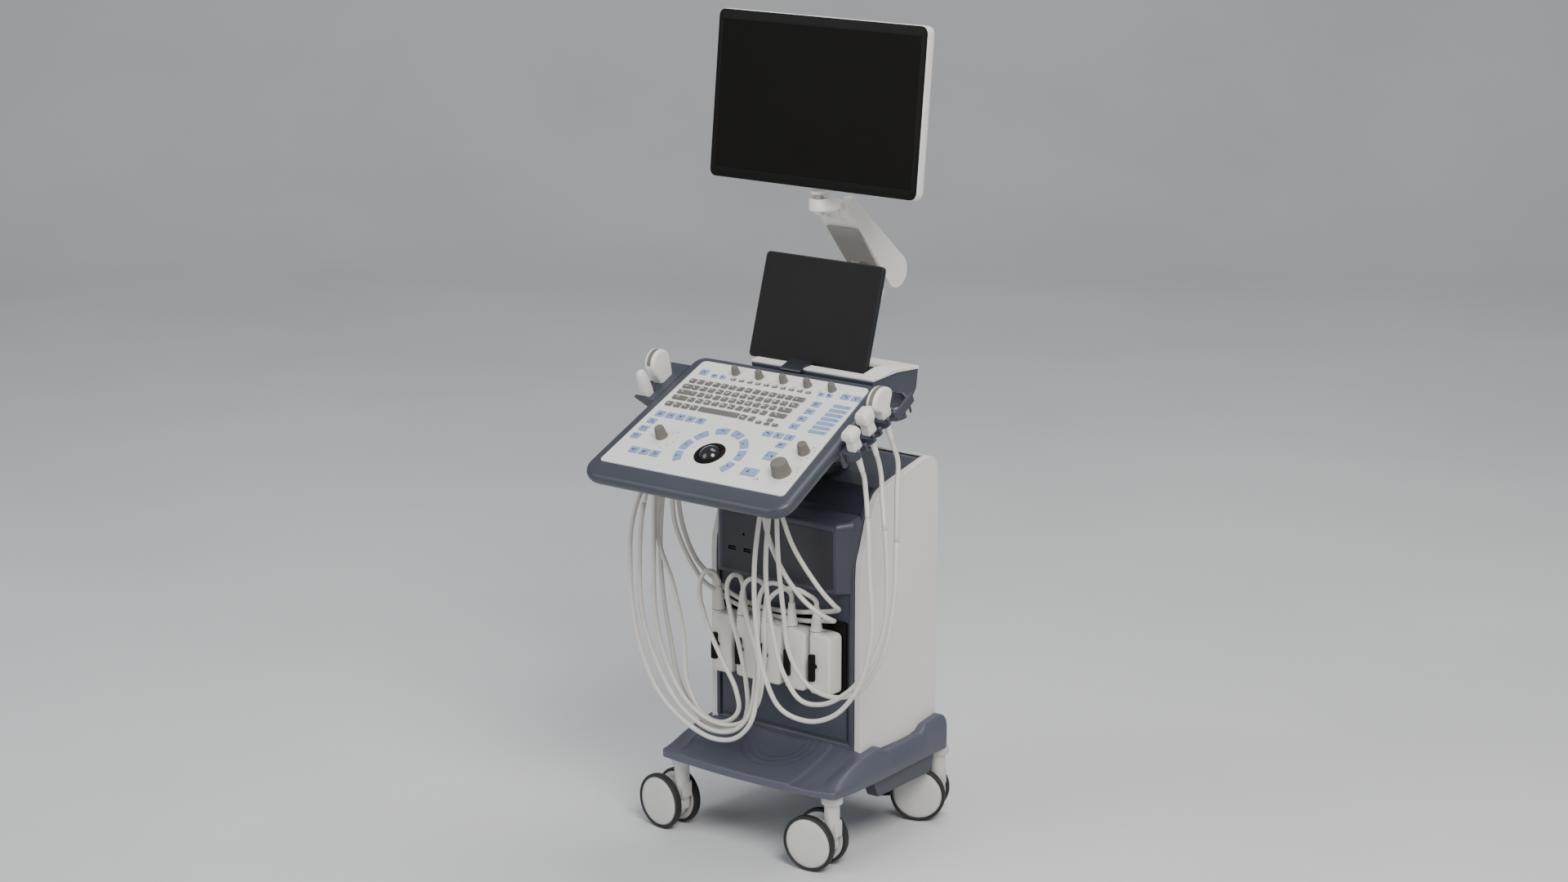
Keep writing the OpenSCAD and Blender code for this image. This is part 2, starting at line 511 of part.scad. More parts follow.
cord_r2 = [rx(57, -60), rx(57, -72), [237, -45, 712], [250, -60, 682], [272, -82, 627], [284, -92, 565],
  [284, -102, 454], [248, -107, 375], [205, -108, 331], [165, -109, 308], [122, -112, 306],
  [89, -117, 346], [68, -122, 418], [57, -126, 499], [54, -123, 560], [55, -115, 630], [55.4, -110, 695],
  [55.4, -110, 712], [52.35, -110, 719.35], [45, -110, 722.4], [37.65, -110, 719.35], [34.6, -110, 712],
  [34.6, -110, 695], [35, -106, 640], [36, -97, 590], [44, -84, 545], [62, -70, 500], [98, -65, 464],
  [122, -54, 445], [130, -38, 434], [122, -20, 426], [104, -13, 421], [60, -13, 413], [0, -13, 408.5],
  [-60, -13, 410], [-100, -13, 416], [-121, -14, 424], [-138, -22, 436], [-151, -34, 450],
  [-166, -47, 480], [-177, -58, 512], [-186, -72, 560], [-185, -81, 630], [-179.6, -85, 695],
  [-179.6, -85, 712], [-182.65, -85, 719.35], [-190, -85, 722.4], [-197.35, -85, 719.35],
  [-200.4, -85, 712], [-201, -86, 695], [-204, -94, 620], [-203, -99, 540], [-170, -99, 459],
  [-147, -99, 370], [-136, -99, 275], [-104, -99, 232], [-55, -99, 228], [-26, -98, 255],
  [-34, -95, 290], [-66, -89, 332], [-118, -76, 405], [-136, -67, 446], [-135, -63, 468],
  [-128, -58, 480], [-122.5, -48, 478], [-121, -36, 464], [-121, -31, 456], [-121, -31, 448]];
cord_r1 = [rx(12, -60), rx(12, -72), [238, -90, 692], [254, -106, 650], [272, -125, 570],
  [281, -133, 440], [252, -135, 354], [200, -135, 299], [149, -135, 282], [99, -140, 294],
  [69, -145, 345], [52, -150, 450], [50, -150, 544], [53, -141, 620], [55.4, -126, 695],
  [55.4, -125, 712], [52.35, -125, 719.35], [45, -125, 722.4], [30, -125, 722], [-30, -121, 716],
  [-100, -112, 714], [-160, -104, 719], [-182.65, -102, 721], [-190, -102, 722.4],
  [-197.35, -102, 719.35], [-200.4, -102, 712], [-201, -102, 695], [-205, -107, 610],
  [-203, -111, 506], [-201, -111, 406], [-178, -111, 322], [-128, -111, 252], [-60, -111, 227],
  [-8, -111, 240], [20, -106, 275], [28, -98, 330], [23, -86, 390], [14, -73, 435], [17, -66, 456],
  [28, -61, 470], [46, -56, 479], [68, -51, 480], [84, -44, 472], [92, -35, 463], [93, -31, 456],
  [93, -31, 448]];
cord_ls = [lx(43.5, -80), lx(43.5, -92), [-230, -56, 684], [-226, -88, 645], [-223, -112, 600],
  [-226, -122, 506], [-220, -123, 401], [-193, -123, 326], [-125, -123, 240], [-58, -123, 217],
  [-10, -123, 231], [14, -119, 262], [20, -111, 315], [14, -98, 370], [4, -80, 420], [-5, -67, 448],
  [-4, -60, 466], [6, -55, 480], [22, -50, 482], [36, -42, 473], [39.5, -34, 464], [39.5, -31, 456],
  [39.5, -31, 448]];
cord_lc = [lx(90, -84), lx(90, -96), [-233, -22, 690], [-238, -60, 655], [-242, -100, 612],
  [-244, -122, 555], [-240, -131, 490], [-233, -135, 420], [-214, -135, 339], [-180, -135, 275],
  [-108, -135, 222], [-48, -135, 208], [-2, -135, 220], [25, -131, 250], [33, -122, 301],
  [27, -110, 362], [-1, -98, 410], [-25, -82, 440], [-39, -68, 458], [-39, -62, 474], [-30, -57, 483],
  [-20, -48, 480], [-14.5, -36, 466], [-14, -31, 456], [-14, -31, 448]];
module cable_left_convex() color(white) sweep(cord_lc, cord_r);
module cable_left_small() color(white) sweep(cord_ls, cord_r);
module cable_right_1() color(white) sweep(cord_r1, cord_r);
module cable_right_2() color(white) sweep(cord_r2, cord_r);
module cable_right_convex() color(white) sweep(cord_rc, cord_r);
base_tray();
chassis_frame();
front_fascia();
left_side_cover();
right_side_cover();
rear_cover();
top_cover();
drive_module();
socket_panel();
probe_plugs();
plug_locks();
power_supply();
electronics_rack();
cover_screws();
fan_rotor();
caster(-stem_x, stem_front, 172) fork();  // caster_fl_fork
caster(-stem_x, stem_front, 172) wheels();  // caster_fl_wheels
caster(stem_x, stem_front, 185) fork();  // caster_fr_fork
caster(stem_x, stem_front, 185) wheels();  // caster_fr_wheels
caster(-stem_x, stem_rear, 0) fork(true);  // caster_rl_fork
caster(-stem_x, stem_rear, 0) wheels();  // caster_rl_wheels
caster(stem_x, stem_rear, 205) fork(true);  // caster_rr_fork
caster(stem_x, stem_rear, 205) wheels();  // caster_rr_wheels
caster(-stem_x, stem_rear, 0) brake_pedal();  // brake_pedal_rl
caster(stem_x, stem_rear, 205) brake_pedal();  // brake_pedal_rr
lift_column();
console_shell();
console_deck();
rear_housing();
left_rack();
right_rack();
touch_bracket();
typing_keys();
soft_keys();
trackball();
knob(0);  // encoder_knob_1
knob(1);  // encoder_knob_2
knob(2);  // encoder_knob_3
knob(3);  // encoder_knob_4
knob(4);  // encoder_knob_5
knob(5);  // mode_knob
knob(6);  // gain_knob
knob(7);  // depth_knob
touch_panel();
lower_arm();
upper_arm();
arm_head();
monitor_neck();
monitor_housing();
monitor_screen();
probe_left_convex();
probe_left_small();
probe_right_1();
probe_right_2();
probe_right_convex();
cable_left_convex();
cable_left_small();
cable_right_1();
cable_right_2();
cable_right_convex();
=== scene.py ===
"""Looks of the cart-mounted ultrasound scanner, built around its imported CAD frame.

Sizes are millimetres in the builders below and metres in Blender. The deck frame has u across,
v up the slope and h out of the deck. A profile is a list of (radius, height) pairs.
"""

import math
import random

import bmesh
import bpy
from mathutils import Matrix, Vector


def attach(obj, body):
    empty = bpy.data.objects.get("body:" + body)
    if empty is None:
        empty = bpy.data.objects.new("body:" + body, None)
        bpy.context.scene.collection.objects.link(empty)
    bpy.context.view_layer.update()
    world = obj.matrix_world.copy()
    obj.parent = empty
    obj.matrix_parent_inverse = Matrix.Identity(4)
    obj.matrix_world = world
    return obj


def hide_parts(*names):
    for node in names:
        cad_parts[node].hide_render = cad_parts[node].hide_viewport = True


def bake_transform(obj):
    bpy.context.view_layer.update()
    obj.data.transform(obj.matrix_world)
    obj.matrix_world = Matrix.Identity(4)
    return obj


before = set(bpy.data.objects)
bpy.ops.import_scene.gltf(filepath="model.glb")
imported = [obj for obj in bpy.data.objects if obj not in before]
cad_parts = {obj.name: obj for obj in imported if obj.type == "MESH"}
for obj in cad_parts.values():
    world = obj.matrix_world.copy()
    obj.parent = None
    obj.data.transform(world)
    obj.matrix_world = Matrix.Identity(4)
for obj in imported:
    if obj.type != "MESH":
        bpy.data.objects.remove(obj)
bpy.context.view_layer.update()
random.seed(7)

MM = 0.001
DECK_TILT = math.radians(25.5)
DECK_ORIGIN = Vector((0, -130, 776))
DECK = Matrix.Translation(DECK_ORIGIN) @ Matrix.Rotation(DECK_TILT, 4, "X")
MONITOR = Matrix.Translation((0, 88, 1300)) @ Matrix.Rotation(math.radians(-6.2), 4, "X")
TOUCH_HINGE = (0, 84, 856)
TOUCH = Matrix.Translation(TOUCH_HINGE) @ Matrix.Rotation(math.radians(-17), 4, "X")
TURRET = (0, 180, 0)
ELBOW = (0, 267, 985)
HEAD_HINGE = (0, 146, 1112)
POST = (0, 98, 0)
TILT_HINGE = (0, 126, 1236)
TRACKBALL = (-3, -81, 0)
LIFT = (0, 120, 0)
WHEEL_R = 50
TRAIL = 32
CABLE_R = 4.2
SOCKET_PITCH = 53.5
SIDES = ((-1, "left"), (1, "right"))


# ---------- camera and light ----------
def look_from(obj, place, target):
    obj.location = place
    obj.rotation_euler = (Vector(target) - Vector(place)).to_track_quat("-Z", "Y").to_euler()
    bpy.context.scene.collection.objects.link(obj)


def camera():
    data = bpy.data.cameras.new("camera")
    data.lens = 75.28
    data.sensor_width = 36
    obj = bpy.data.objects.new("camera", data)
    look_from(obj, (3.314, -4.373, 2.114), (-0.019, 0.024, 0.7155))
    bpy.context.scene.camera = obj


def area_light(name, place, target, size, power, colour):
    data = bpy.data.lights.new(name, "AREA")
    data.shape = "DISK"
    data.size = size
    data.energy = power
    data.color = colour
    look_from(bpy.data.objects.new(name, data), place, target)


def lights():
    middle = (0, 0, 0.75)
    area_light("key_light", (3.2, -2.4, 4.2), middle, 2.6, 285, (1.0, 0.97, 0.93))
    area_light("fill_light", (-2.6, -4.4, 2.9), middle, 3.4, 95, (0.92, 0.96, 1.0))
    area_light("top_light", (0.3, 1.0, 4.6), middle, 2.6, 90, (1.0, 0.98, 0.96))
    world = bpy.data.worlds.new("world")
    world.use_nodes = True
    background = world.node_tree.nodes["Background"].inputs
    background["Color"].default_value = (0.72, 0.76, 0.80, 1)
    background["Strength"].default_value = 0.42
    bpy.context.scene.world = world


# ---------- materials ----------
def tree(name):
    mat = bpy.data.materials.new(name)
    mat.use_nodes = True
    nodes = mat.node_tree.nodes
    return mat, nodes, mat.node_tree.links, nodes["Principled BSDF"]


def noise_at(nodes, links, coordinate, scale, detail=3.0):
    tex = nodes.new("ShaderNodeTexNoise")
    tex.inputs["Scale"].default_value = scale
    tex.inputs["Detail"].default_value = detail
    links.new(coordinate, tex.inputs["Vector"])
    return tex.outputs["Fac"]


def ramp(nodes, links, source, low, high, start=0.35, end=0.65):
    node = nodes.new("ShaderNodeValToRGB")
    node.color_ramp.elements[0].position = start
    node.color_ramp.elements[1].position = end
    node.color_ramp.elements[0].color = (*low, 1)
    node.color_ramp.elements[1].color = (*high, 1)
    links.new(source, node.inputs["Fac"])
    return node.outputs["Color"]


def shade(colour, factor):
    return tuple(min(1.0, c * factor) for c in colour)


def product(nodes, links, first, second):
    """A socket multiplied by another socket or by a number."""
    node = nodes.new("ShaderNodeMath")
    node.operation = "MULTIPLY"
    links.new(first, node.inputs[0])
    if isinstance(second, float):
        node.inputs[1].default_value = second
    else:
        links.new(second, node.inputs[1])
    return node.outputs[0]


def relief(nodes, links, shader, source, strength, distance):
    """Bump from a noise, joined to the shader's normal."""
    node = nodes.new("ShaderNodeBump")
    node.inputs["Strength"].default_value = strength
    node.inputs["Distance"].default_value = distance
    links.new(source, node.inputs["Height"])
    links.new(node.outputs["Normal"], shader.inputs["Normal"])


def moulded(name, colour, rough, grain=1400, bump=0.10, spread=0.05, coat=0.0, wear=0.0, shine=0.5):
    """Moulded plastic or paint: slow colour drift, fine grain, a little dust in the gloss."""
    mat, nodes, links, shader = tree(name)
    place = nodes.new("ShaderNodeTexCoord").outputs["Object"]
    drift = noise_at(nodes, links, place, 6.0)
    base = ramp(nodes, links, drift, shade(colour, 1 - spread), shade(colour, 1 + spread))
    if wear:
        edge = nodes.new("ShaderNodeNewGeometry").outputs["Pointiness"]
        worn = ramp(nodes, links, edge, (0, 0, 0), (1, 1, 1), 0.52, 0.60)
        scratch = noise_at(nodes, links, place, 90.0, 6.0)
        mix = nodes.new("ShaderNodeMix")
        mix.data_type = "RGBA"
        links.new(product(nodes, links, product(nodes, links, worn, scratch), wear), mix.inputs["Factor"])
        links.new(base, mix.inputs["A"])
        mix.inputs["B"].default_value = (*shade(colour, 1.7), 1)
        base = mix.outputs["Result"]
    links.new(base, shader.inputs["Base Color"])
    gloss = nodes.new("ShaderNodeMapRange")
    gloss.inputs["To Min"].default_value = rough * 0.88
    gloss.inputs["To Max"].default_value = rough * 1.12
    links.new(noise_at(nodes, links, place, 38.0, 5.0), gloss.inputs["Value"])
    links.new(gloss.outputs["Result"], shader.inputs["Roughness"])
    relief(nodes, links, shader, noise_at(nodes, links, place, grain, 2.0), bump, 0.0004)
    shader.inputs["Specular IOR Level"].default_value = shine
    shader.inputs["Coat Weight"].default_value = coat
    shader.inputs["Coat Roughness"].default_value = 0.12
    return mat


def metal(name, colour, rough, stretch):
    """Brushed or drawn metal: noise stretched along one axis."""
    mat, nodes, links, shader = tree(name)
    scale = nodes.new("ShaderNodeVectorMath")
    scale.operation = "MULTIPLY"
    scale.inputs[1].default_value = stretch
    links.new(nodes.new("ShaderNodeTexCoord").outputs["Object"], scale.inputs[0])
    brushed = noise_at(nodes, links, scale.outputs[0], 1.0, 4.0)
    tone = ramp(nodes, links, brushed, shade(colour, 0.9), shade(colour, 1.06))
    links.new(tone, shader.inputs["Base Color"])
    shader.inputs["Metallic"].default_value = 1.0
    shader.inputs["Roughness"].default_value = rough
    relief(nodes, links, shader, brushed, 0.15, 0.0002)
    return mat


WHITE = (0.76, 0.735, 0.70)
SLATE = (0.044, 0.048, 0.067)
M = {}


def finish(slot, name, *values, make=moulded, **more):
    """Keeps a new material under its name, with the record slot it stands for."""
    M[name] = (slot, make(name, *values, **more))


finish("slate_plastic", "slate", SLATE, 0.42, 1100, 0.16, 0.06, wear=0.25)
finish("slate_plastic", "slate_gloss", shade(SLATE, 0.8), 0.24, 1500, 0.05)
finish("dark_plastic", "dark", (0.022, 0.022, 0.028), 0.42, 1200, 0.12)
finish("dark_plastic", "bracket", (0.020, 0.022, 0.028), 0.30, 1500, 0.05)
finish("dark_plastic", "black", (0.006, 0.0055, 0.005), 0.42, 1400, 0.10, shine=0.12)
finish("white_plastic", "white", WHITE, 0.40, 1300, 0.06, 0.02)
finish("white_plastic", "warm", (0.68, 0.65, 0.60), 0.40, 1300, 0.06, 0.03)
finish("white_plastic", "side", (0.69, 0.66, 0.625), 0.42, 1300, 0.06, 0.02)
# the next grey is painted shade for the shaded underside of the upper arm
finish("white_plastic", "arm_cover", (0.27, 0.25, 0.225), 0.5, 700, 0.25, 0.05)
# the next slate is painted light: the base's slate made about 1.7 times lighter for the light from above that
# the console keeps off the tray
finish("slate_plastic", "tray", (0.074, 0.080, 0.110), 0.42, 1100, 0.16, 0.06, wear=0.25)
finish("white_metal", "paint", WHITE, 0.34, 900, 0.05, 0.02, coat=0.15)
finish("deck_plastic", "deck", (0.72, 0.71, 0.70), 0.40, 1500, 0.05, 0.015)
finish("steel", "steel", (0.56, 0.55, 0.53), 0.28, (40, 40, 900), make=metal)
finish("lift_aluminium", "lift", (0.50, 0.50, 0.52), 0.34, (900, 900, 20), make=metal)
finish("grey_keys", "grey_key", (0.125, 0.120, 0.112), 0.46, 1600, 0.08)
finish("blue_keys", "blue_key", (0.235, 0.315, 0.51), 0.42, 1600, 0.05)
finish("knob_grey", "knob", (0.150, 0.140, 0.122), 0.46, 1500, 0.12)
finish("ball_gloss", "ball", (0.012, 0.012, 0.014), 0.13, 1500, 0.0, coat=0.35)
finish("screen_glass", "screen", (0.0075, 0.007, 0.006), 0.40, 1800, 0.03, shine=0.04)
finish("panel_dark", "panel", (0.015, 0.0145, 0.014), 0.42, 1800, 0.04, shine=0.08)
finish("panel_dark", "panel_edge", (0.012, 0.015, 0.021), 0.34, 1500, 0.05, shine=0.25)
finish("board_green", "board", (0.02, 0.12, 0.06), 0.5, 700, 0.3)
finish("cable_white", "cable", (0.64, 0.61, 0.565), 0.44, 1300, 0.10, 0.04)
finish("wheel_white", "wheel", (0.58, 0.57, 0.55), 0.38, 1300, 0.05, 0.02)
finish("dark_plastic", "tyre", (0.014, 0.014, 0.014), 0.62, 800, 0.35)
finish("grey_keys", "ink", (0.10, 0.10, 0.11), 0.6, 1500, 0.0)
finish("deck_plastic", "pale_ink", (0.70, 0.70, 0.69), 0.6, 1500, 0.0)
finish("blue_keys", "blue_ink", (0.012, 0.022, 0.07), 0.6, 1500, 0.0)


# ---------- mesh helpers ----------
def arc(cx, cy, r, a0, a1, n=8):
    """Points on an arc about (cx, cy), from angle a0 to a1 in degrees."""
    angles = [math.radians(a0 + (a1 - a0) * i / n) for i in range(n + 1)]
    return [(cx + r * math.cos(a), cy + r * math.sin(a)) for a in angles]


def rounded(outline, radius, n=5):
    """A polygon with each corner rounded; radius is one number or one for each corner."""
    count = len(outline)
    radii = [radius] * count if isinstance(radius, (int, float)) else radius
    out = []
    for i, r in enumerate(radii):
        here = Vector(outline[i])
        back = Vector(outline[i - 1]) - here
        ahead = Vector(outline[(i + 1) % count]) - here
        if r <= 0:
            out.append(tuple(here))
            continue
        half = back.angle(ahead) / 2
        run = min(r / math.tan(half), 0.49 * back.length, 0.49 * ahead.length)
        a, b = here + back.normalized() * run, here + ahead.normalized() * run
        for k in range(n + 1):
            t = k / n
            out.append(tuple(a * (1 - t) ** 2 + here * 2 * t * (1 - t) + b * t * t))
    return out


def rect(x0, y0, x1, y1, r=0.0, n=5):
    corners = [(x0, y0), (x1, y0), (x1, y1), (x0, y1)]
    return rounded(corners, r, n) if r else corners


# where a point of an outline, a and b, lands at c along each axis
PLACED = {
    "z": lambda a, b, c: (a, b, c),
    "x": lambda a, b, c: (c, a, b),
    "y": lambda a, b, c: (a, c, b),
}


def prism(outline, low, high, axis="z"):
    """An outline pushed along one axis: (x, y) along z, (y, z) along x or (x, z) along y."""
    n = len(outline)
    verts = [PLACED[axis](a, b, c) for c in (low, high) for a, b in outline]
    faces = [tuple(range(n)), tuple(range(n, 2 * n))]
    faces += [(i, (i + 1) % n, n + (i + 1) % n, n + i) for i in range(n)]
    return verts, faces


def beside(outline, side, inner, outer):
    """A (y, z) outline pushed along x on one side of the middle plane."""
    return prism(outline, *sorted((side * inner, side * outer)), "x")


def box(x0, y0, z0, x1, y1, z1):
    return prism(rect(x0, y0, x1, y1), z0, z1)


def loft(rings, cap=True):
    """Skin over rings of equal length."""
    n = len(rings[0])
    verts = [p for ring in rings for p in ring]
    faces = []
    for a in range(0, len(verts) - n, n):
        faces += [(a + i, a + (i + 1) % n, a + n + (i + 1) % n, a + n + i) for i in range(n)]
    if cap:
        faces += [tuple(range(n)), tuple(range(len(verts) - n, len(verts)))]
    return verts, faces


def lathe(profile, centre=(0, 0, 0), axis="z", n=48, flutes=0, depth=0.0, cap=True):
    """A profile turned about an axis. Flutes press grooves into it, save where a point ends in 0."""
    rings = []
    for r, h, *rest in profile:
        ring = []
        for i in range(n):
            t = 2 * math.pi * i / n
            groove = depth * (0.5 - 0.5 * math.cos(flutes * t)) if flutes and (not rest or rest[0]) else 0
            point = PLACED[axis]((r - groove) * math.cos(t), (r - groove) * math.sin(t), h)
            ring.append(tuple(c + q for c, q in zip(centre, point)))
        rings.append(ring)
    return loft(rings, cap)


def ring_of(profile, centre=(0, 0, 0), axis="z", n=64, flutes=0, depth=0.0):
    """A closed profile turned about an axis, such as a tyre or a collar."""
    return lathe(profile + profile[:1], centre, axis, n, flutes, depth, cap=False)


def rod(r, low, high, centre=(0, 0, 0), axis="z", n=48):
    """A plain round bar, used as a pin or as a cutter."""
    return lathe([(0.1, low), (r, low), (r, high), (0.1, high)], centre, axis, n)


def moved(shape, matrix):
    """The same shape put through a matrix."""
    verts, faces = shape
    return [tuple(matrix @ Vector(v)) for v in verts], faces


def joined(shapes):
    """Several shapes as one."""
    verts, faces = [], []
    for v, f in shapes:
        start = len(verts)
        verts += v
        faces += [tuple(start + i for i in face) for face in f]
    return verts, faces


def to_mesh(name, shape):
    """A mesh in metres from a shape in millimetres."""
    bm = bmesh.new()
    made = [bm.verts.new(v) for v in shape[0]]
    for face in shape[1]:
        bm.faces.new([made[i] for i in face])
    bmesh.ops.remove_doubles(bm, verts=bm.verts, dist=1e-5)
    bmesh.ops.recalc_face_normals(bm, faces=bm.faces)
    bmesh.ops.scale(bm, vec=(MM, MM, MM), verts=bm.verts)
    mesh = bpy.data.meshes.new(name)
    bm.to_mesh(mesh)
    bm.free()
    return mesh


def linked(name, mesh):
    """A new smooth-shaded object in the scene."""
    for face in mesh.polygons:
        face.use_smooth = True
    obj = bpy.data.objects.new(name, mesh)
    bpy.context.scene.collection.objects.link(obj)
    return obj


def baked(obj):
    """Applies the object's modifiers."""
    mesh = bpy.data.meshes.new_from_object(obj.evaluated_get(bpy.context.evaluated_depsgraph_get()))
    obj.modifiers.clear()
    obj.data = mesh


def carve(obj, cutters):
    """Cuts the cutters' shapes out of the object."""
    temps = []
    for i, shape in enumerate(cutters):
        cutter = linked(f"cutter{i}", to_mesh(f"cutter{i}", shape))
        cut = obj.modifiers.new("cut", "BOOLEAN")
        cut.operation = "DIFFERENCE"
        cut.object = cutter
        cut.solver = "EXACT"
        temps.append(cutter)
    bpy.context.view_layer.update()
    baked(obj)
    for cutter in temps:
        bpy.data.objects.remove(cutter)


def piece(name, shapes, material, body, nodes=(), place=None, bevel=0.0, segments=3, cuts=(), angle=32):
    """One visible piece that rides on a body and stands for the CAD nodes named."""
    shape = joined(shapes) if isinstance(shapes, list) else shapes
    if place is not None:
        shape = moved(shape, place)
        cuts = [moved(c, place) for c in cuts]
    obj = linked(name, to_mesh(name, shape))
    if cuts:
        carve(obj, cuts)
    obj.data.materials.clear()
    obj.data.materials.append(M[material][1])
    for face in obj.data.polygons:
        face.use_smooth = True
    if bevel:
        edges = obj.modifiers.new("round_edges", "BEVEL")
        edges.width = bevel * MM
        edges.segments = segments
        edges.limit_method = "ANGLE"
        edges.angle_limit = math.radians(angle)
        edges.harden_normals = True
        baked(obj)
    else:
        obj.data.set_sharp_from_angle(angle=math.radians(angle))
    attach(obj, body)
    if nodes:
        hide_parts(*([nodes] if isinstance(nodes, str) else nodes))
    return obj


def dk(u, v, h):
    """A point of the deck frame."""
    return tuple(DECK @ Vector((u, v, h)))


# ---------- probe cables ----------
PEG_Z = 712
PEG_REACH = 10.4


def over_peg(x, y):
    """The half turn of a cable over a peg, from its right side to its left."""
    return [(round(px, 2), y, round(pz, 2)) for px, pz in arc(x, PEG_Z, PEG_REACH, 0, 180, 4)]


# Routes from the strain relief of each probe to the neck of its plug, in millimetres.
RIGHT_CONVEX = [
    dk(233, 103, -60), dk(233, 103, -72), (239, 0, 728), (251, -18, 685), (266, -40, 596),
    (276, -60, 499), (254, -70, 388), (205, -74, 325), (160, -76, 311), (112, -80, 323),
    (78, -85, 369), (66, -90, 451), (60, -96, 540), (57, -97, 620), (55.4, -95, 695),
    *over_peg(45, -95), (35, -93, 695), (41, -84, 655), (52, -76, 615), (66, -64, 562),
    (98, -56, 512), (126, -51, 480), (136, -38, 461), (132, -20, 448), (116, -13, 441),
    (80, -13, 433), (30, -13, 424), (-20, -13, 420), (-73, -13, 423), (-100, -13, 430),
    (-121, -14, 440), (-141, -20, 456), (-163, -31, 480), (-184, -48, 540), (-188, -60, 604),
    (-181, -68, 670), (-179.6, -70, 700), *over_peg(-190, -70), (-201, -71, 695),
    (-205, -82, 610), (-207, -87, 483), (-188, -87, 360), (-153, -87, 252), (-110, -87, 216),
    (-60, -87, 210), (-28, -87, 225), (-16, -86, 256), (-22, -81, 300), (-42, -74, 360),
    (-66, -69, 420), (-76, -65, 452), (-77, -62, 470), (-71, -56, 482), (-67.5, -44, 480),
    (-67.5, -34, 466), (-67.5, -31, 456), (-67.5, -31, 448),
]
RIGHT_2 = [
    dk(233, 57, -60), dk(233, 57, -72), (237, -45, 712), (250, -60, 682), (272, -82, 627),
    (284, -92, 565), (284, -102, 454), (248, -107, 375), (205, -108, 331), (165, -109, 308),
    (122, -112, 306), (89, -117, 346), (68, -122, 418), (57, -126, 499), (54, -123, 560),
    (55, -115, 630), (55.4, -110, 695), *over_peg(45, -110), (34.6, -110, 695),
    (35, -106, 640), (36, -97, 590), (44, -84, 545), (62, -70, 500), (98, -65, 464),
    (122, -54, 445), (130, -38, 434), (122, -20, 426), (104, -13, 421), (60, -13, 413),
    (0, -13, 408.5), (-60, -13, 410), (-100, -13, 416), (-121, -14, 424), (-138, -22, 436),
    (-151, -34, 450), (-166, -47, 480), (-177, -58, 512), (-186, -72, 560), (-185, -81, 630),
    (-179.6, -85, 695), *over_peg(-190, -85), (-201, -86, 695), (-204, -94, 620),
    (-203, -99, 540), (-170, -99, 459), (-147, -99, 370), (-136, -99, 275), (-104, -99, 232),
    (-55, -99, 228), (-26, -98, 255), (-34, -95, 290), (-66, -89, 332), (-118, -76, 405),
    (-136, -67, 446), (-135, -63, 468), (-128, -58, 480), (-122.5, -48, 478),
    (-121, -36, 464), (-121, -31, 456), (-121, -31, 448),
]
RIGHT_1 = [
    dk(233, 12, -60), dk(233, 12, -72), (238, -90, 692), (254, -106, 650), (272, -125, 570),
    (281, -133, 440), (252, -135, 354), (200, -135, 299), (149, -135, 282), (99, -140, 294),
    (69, -145, 345), (52, -150, 450), (50, -150, 544), (53, -141, 620), (55.4, -126, 695),
    (55.4, -125, 712), (52.35, -125, 719.35), (45, -125, 722.4), (30, -125, 722), (-30, -121, 716),
    (-100, -112, 714), (-160, -104, 719), (-182.65, -102, 721), (-190, -102, 722.4),
    (-197.35, -102, 719.35), (-200.4, -102, 712), (-201, -102, 695), (-205, -107, 610),
    (-203, -111, 506), (-201, -111, 406), (-178, -111, 322), (-128, -111, 252), (-60, -111, 227),
    (-8, -111, 240), (20, -106, 275), (28, -98, 330), (23, -86, 390), (14, -73, 435),
    (17, -66, 456), (28, -61, 470), (46, -56, 479), (68, -51, 480), (84, -44, 472), (92, -35, 463),
    (93, -31, 456), (93, -31, 448),
]
LEFT_SMALL = [
    dk(-231, 43.5, -80), dk(-231, 43.5, -92), (-230, -56, 684), (-226, -88, 645), (-223, -112, 600),
    (-226, -122, 506), (-220, -123, 401), (-193, -123, 326), (-125, -123, 240), (-58, -123, 217),
    (-10, -123, 231), (14, -119, 262), (20, -111, 315), (14, -98, 370), (4, -80, 420),
    (-5, -67, 448), (-4, -60, 466), (6, -55, 480), (22, -50, 482), (36, -42, 473), (39.5, -34, 464),
    (39.5, -31, 456), (39.5, -31, 448),
]
LEFT_CONVEX = [
    dk(-231, 90, -84), dk(-231, 90, -96), (-233, -11, 690), (-238, -50, 652), (-242, -98, 612),
    (-244, -122, 555), (-240, -131, 490), (-233, -135, 420), (-214, -135, 339), (-180, -135, 275),
    (-108, -135, 222), (-48, -135, 208), (-2, -135, 220), (25, -131, 250), (33, -122, 301),
    (27, -110, 362), (-1, -98, 410), (-25, -82, 440), (-39, -68, 458), (-39, -62, 474),
    (-30, -57, 483), (-20, -48, 480), (-14.5, -36, 466), (-14, -31, 456), (-14, -31, 448),
]


STEPS = 6


def smoothed(points):
    """One smooth curve through the points, leaning to the shorter neighbour at each."""
    p = [Vector(x) for x in points]
    gap = [(b - a).length for a, b in zip(p, p[1:])]
    unit = [(b - a).normalized() for a, b in zip(p, p[1:])]
    turn = [unit[0]]
    turn += [(unit[i] * gap[i - 1] + unit[i - 1] * gap[i]).normalized() for i in range(1, len(p) - 1)]
    turn += [unit[-1]]
    out = []
    for i in range(len(p) - 1):
        for k in range(STEPS):
            t = k / STEPS
            s, c = t * t, t * t * t
            out.append(
                (2 * c - 3 * s + 1) * p[i]
                + (c - 2 * s + t) * gap[i] * turn[i]
                + (3 * s - 2 * c) * p[i + 1]
                + (c - s) * gap[i] * turn[i + 1]
            )
    return out + [p[-1]]


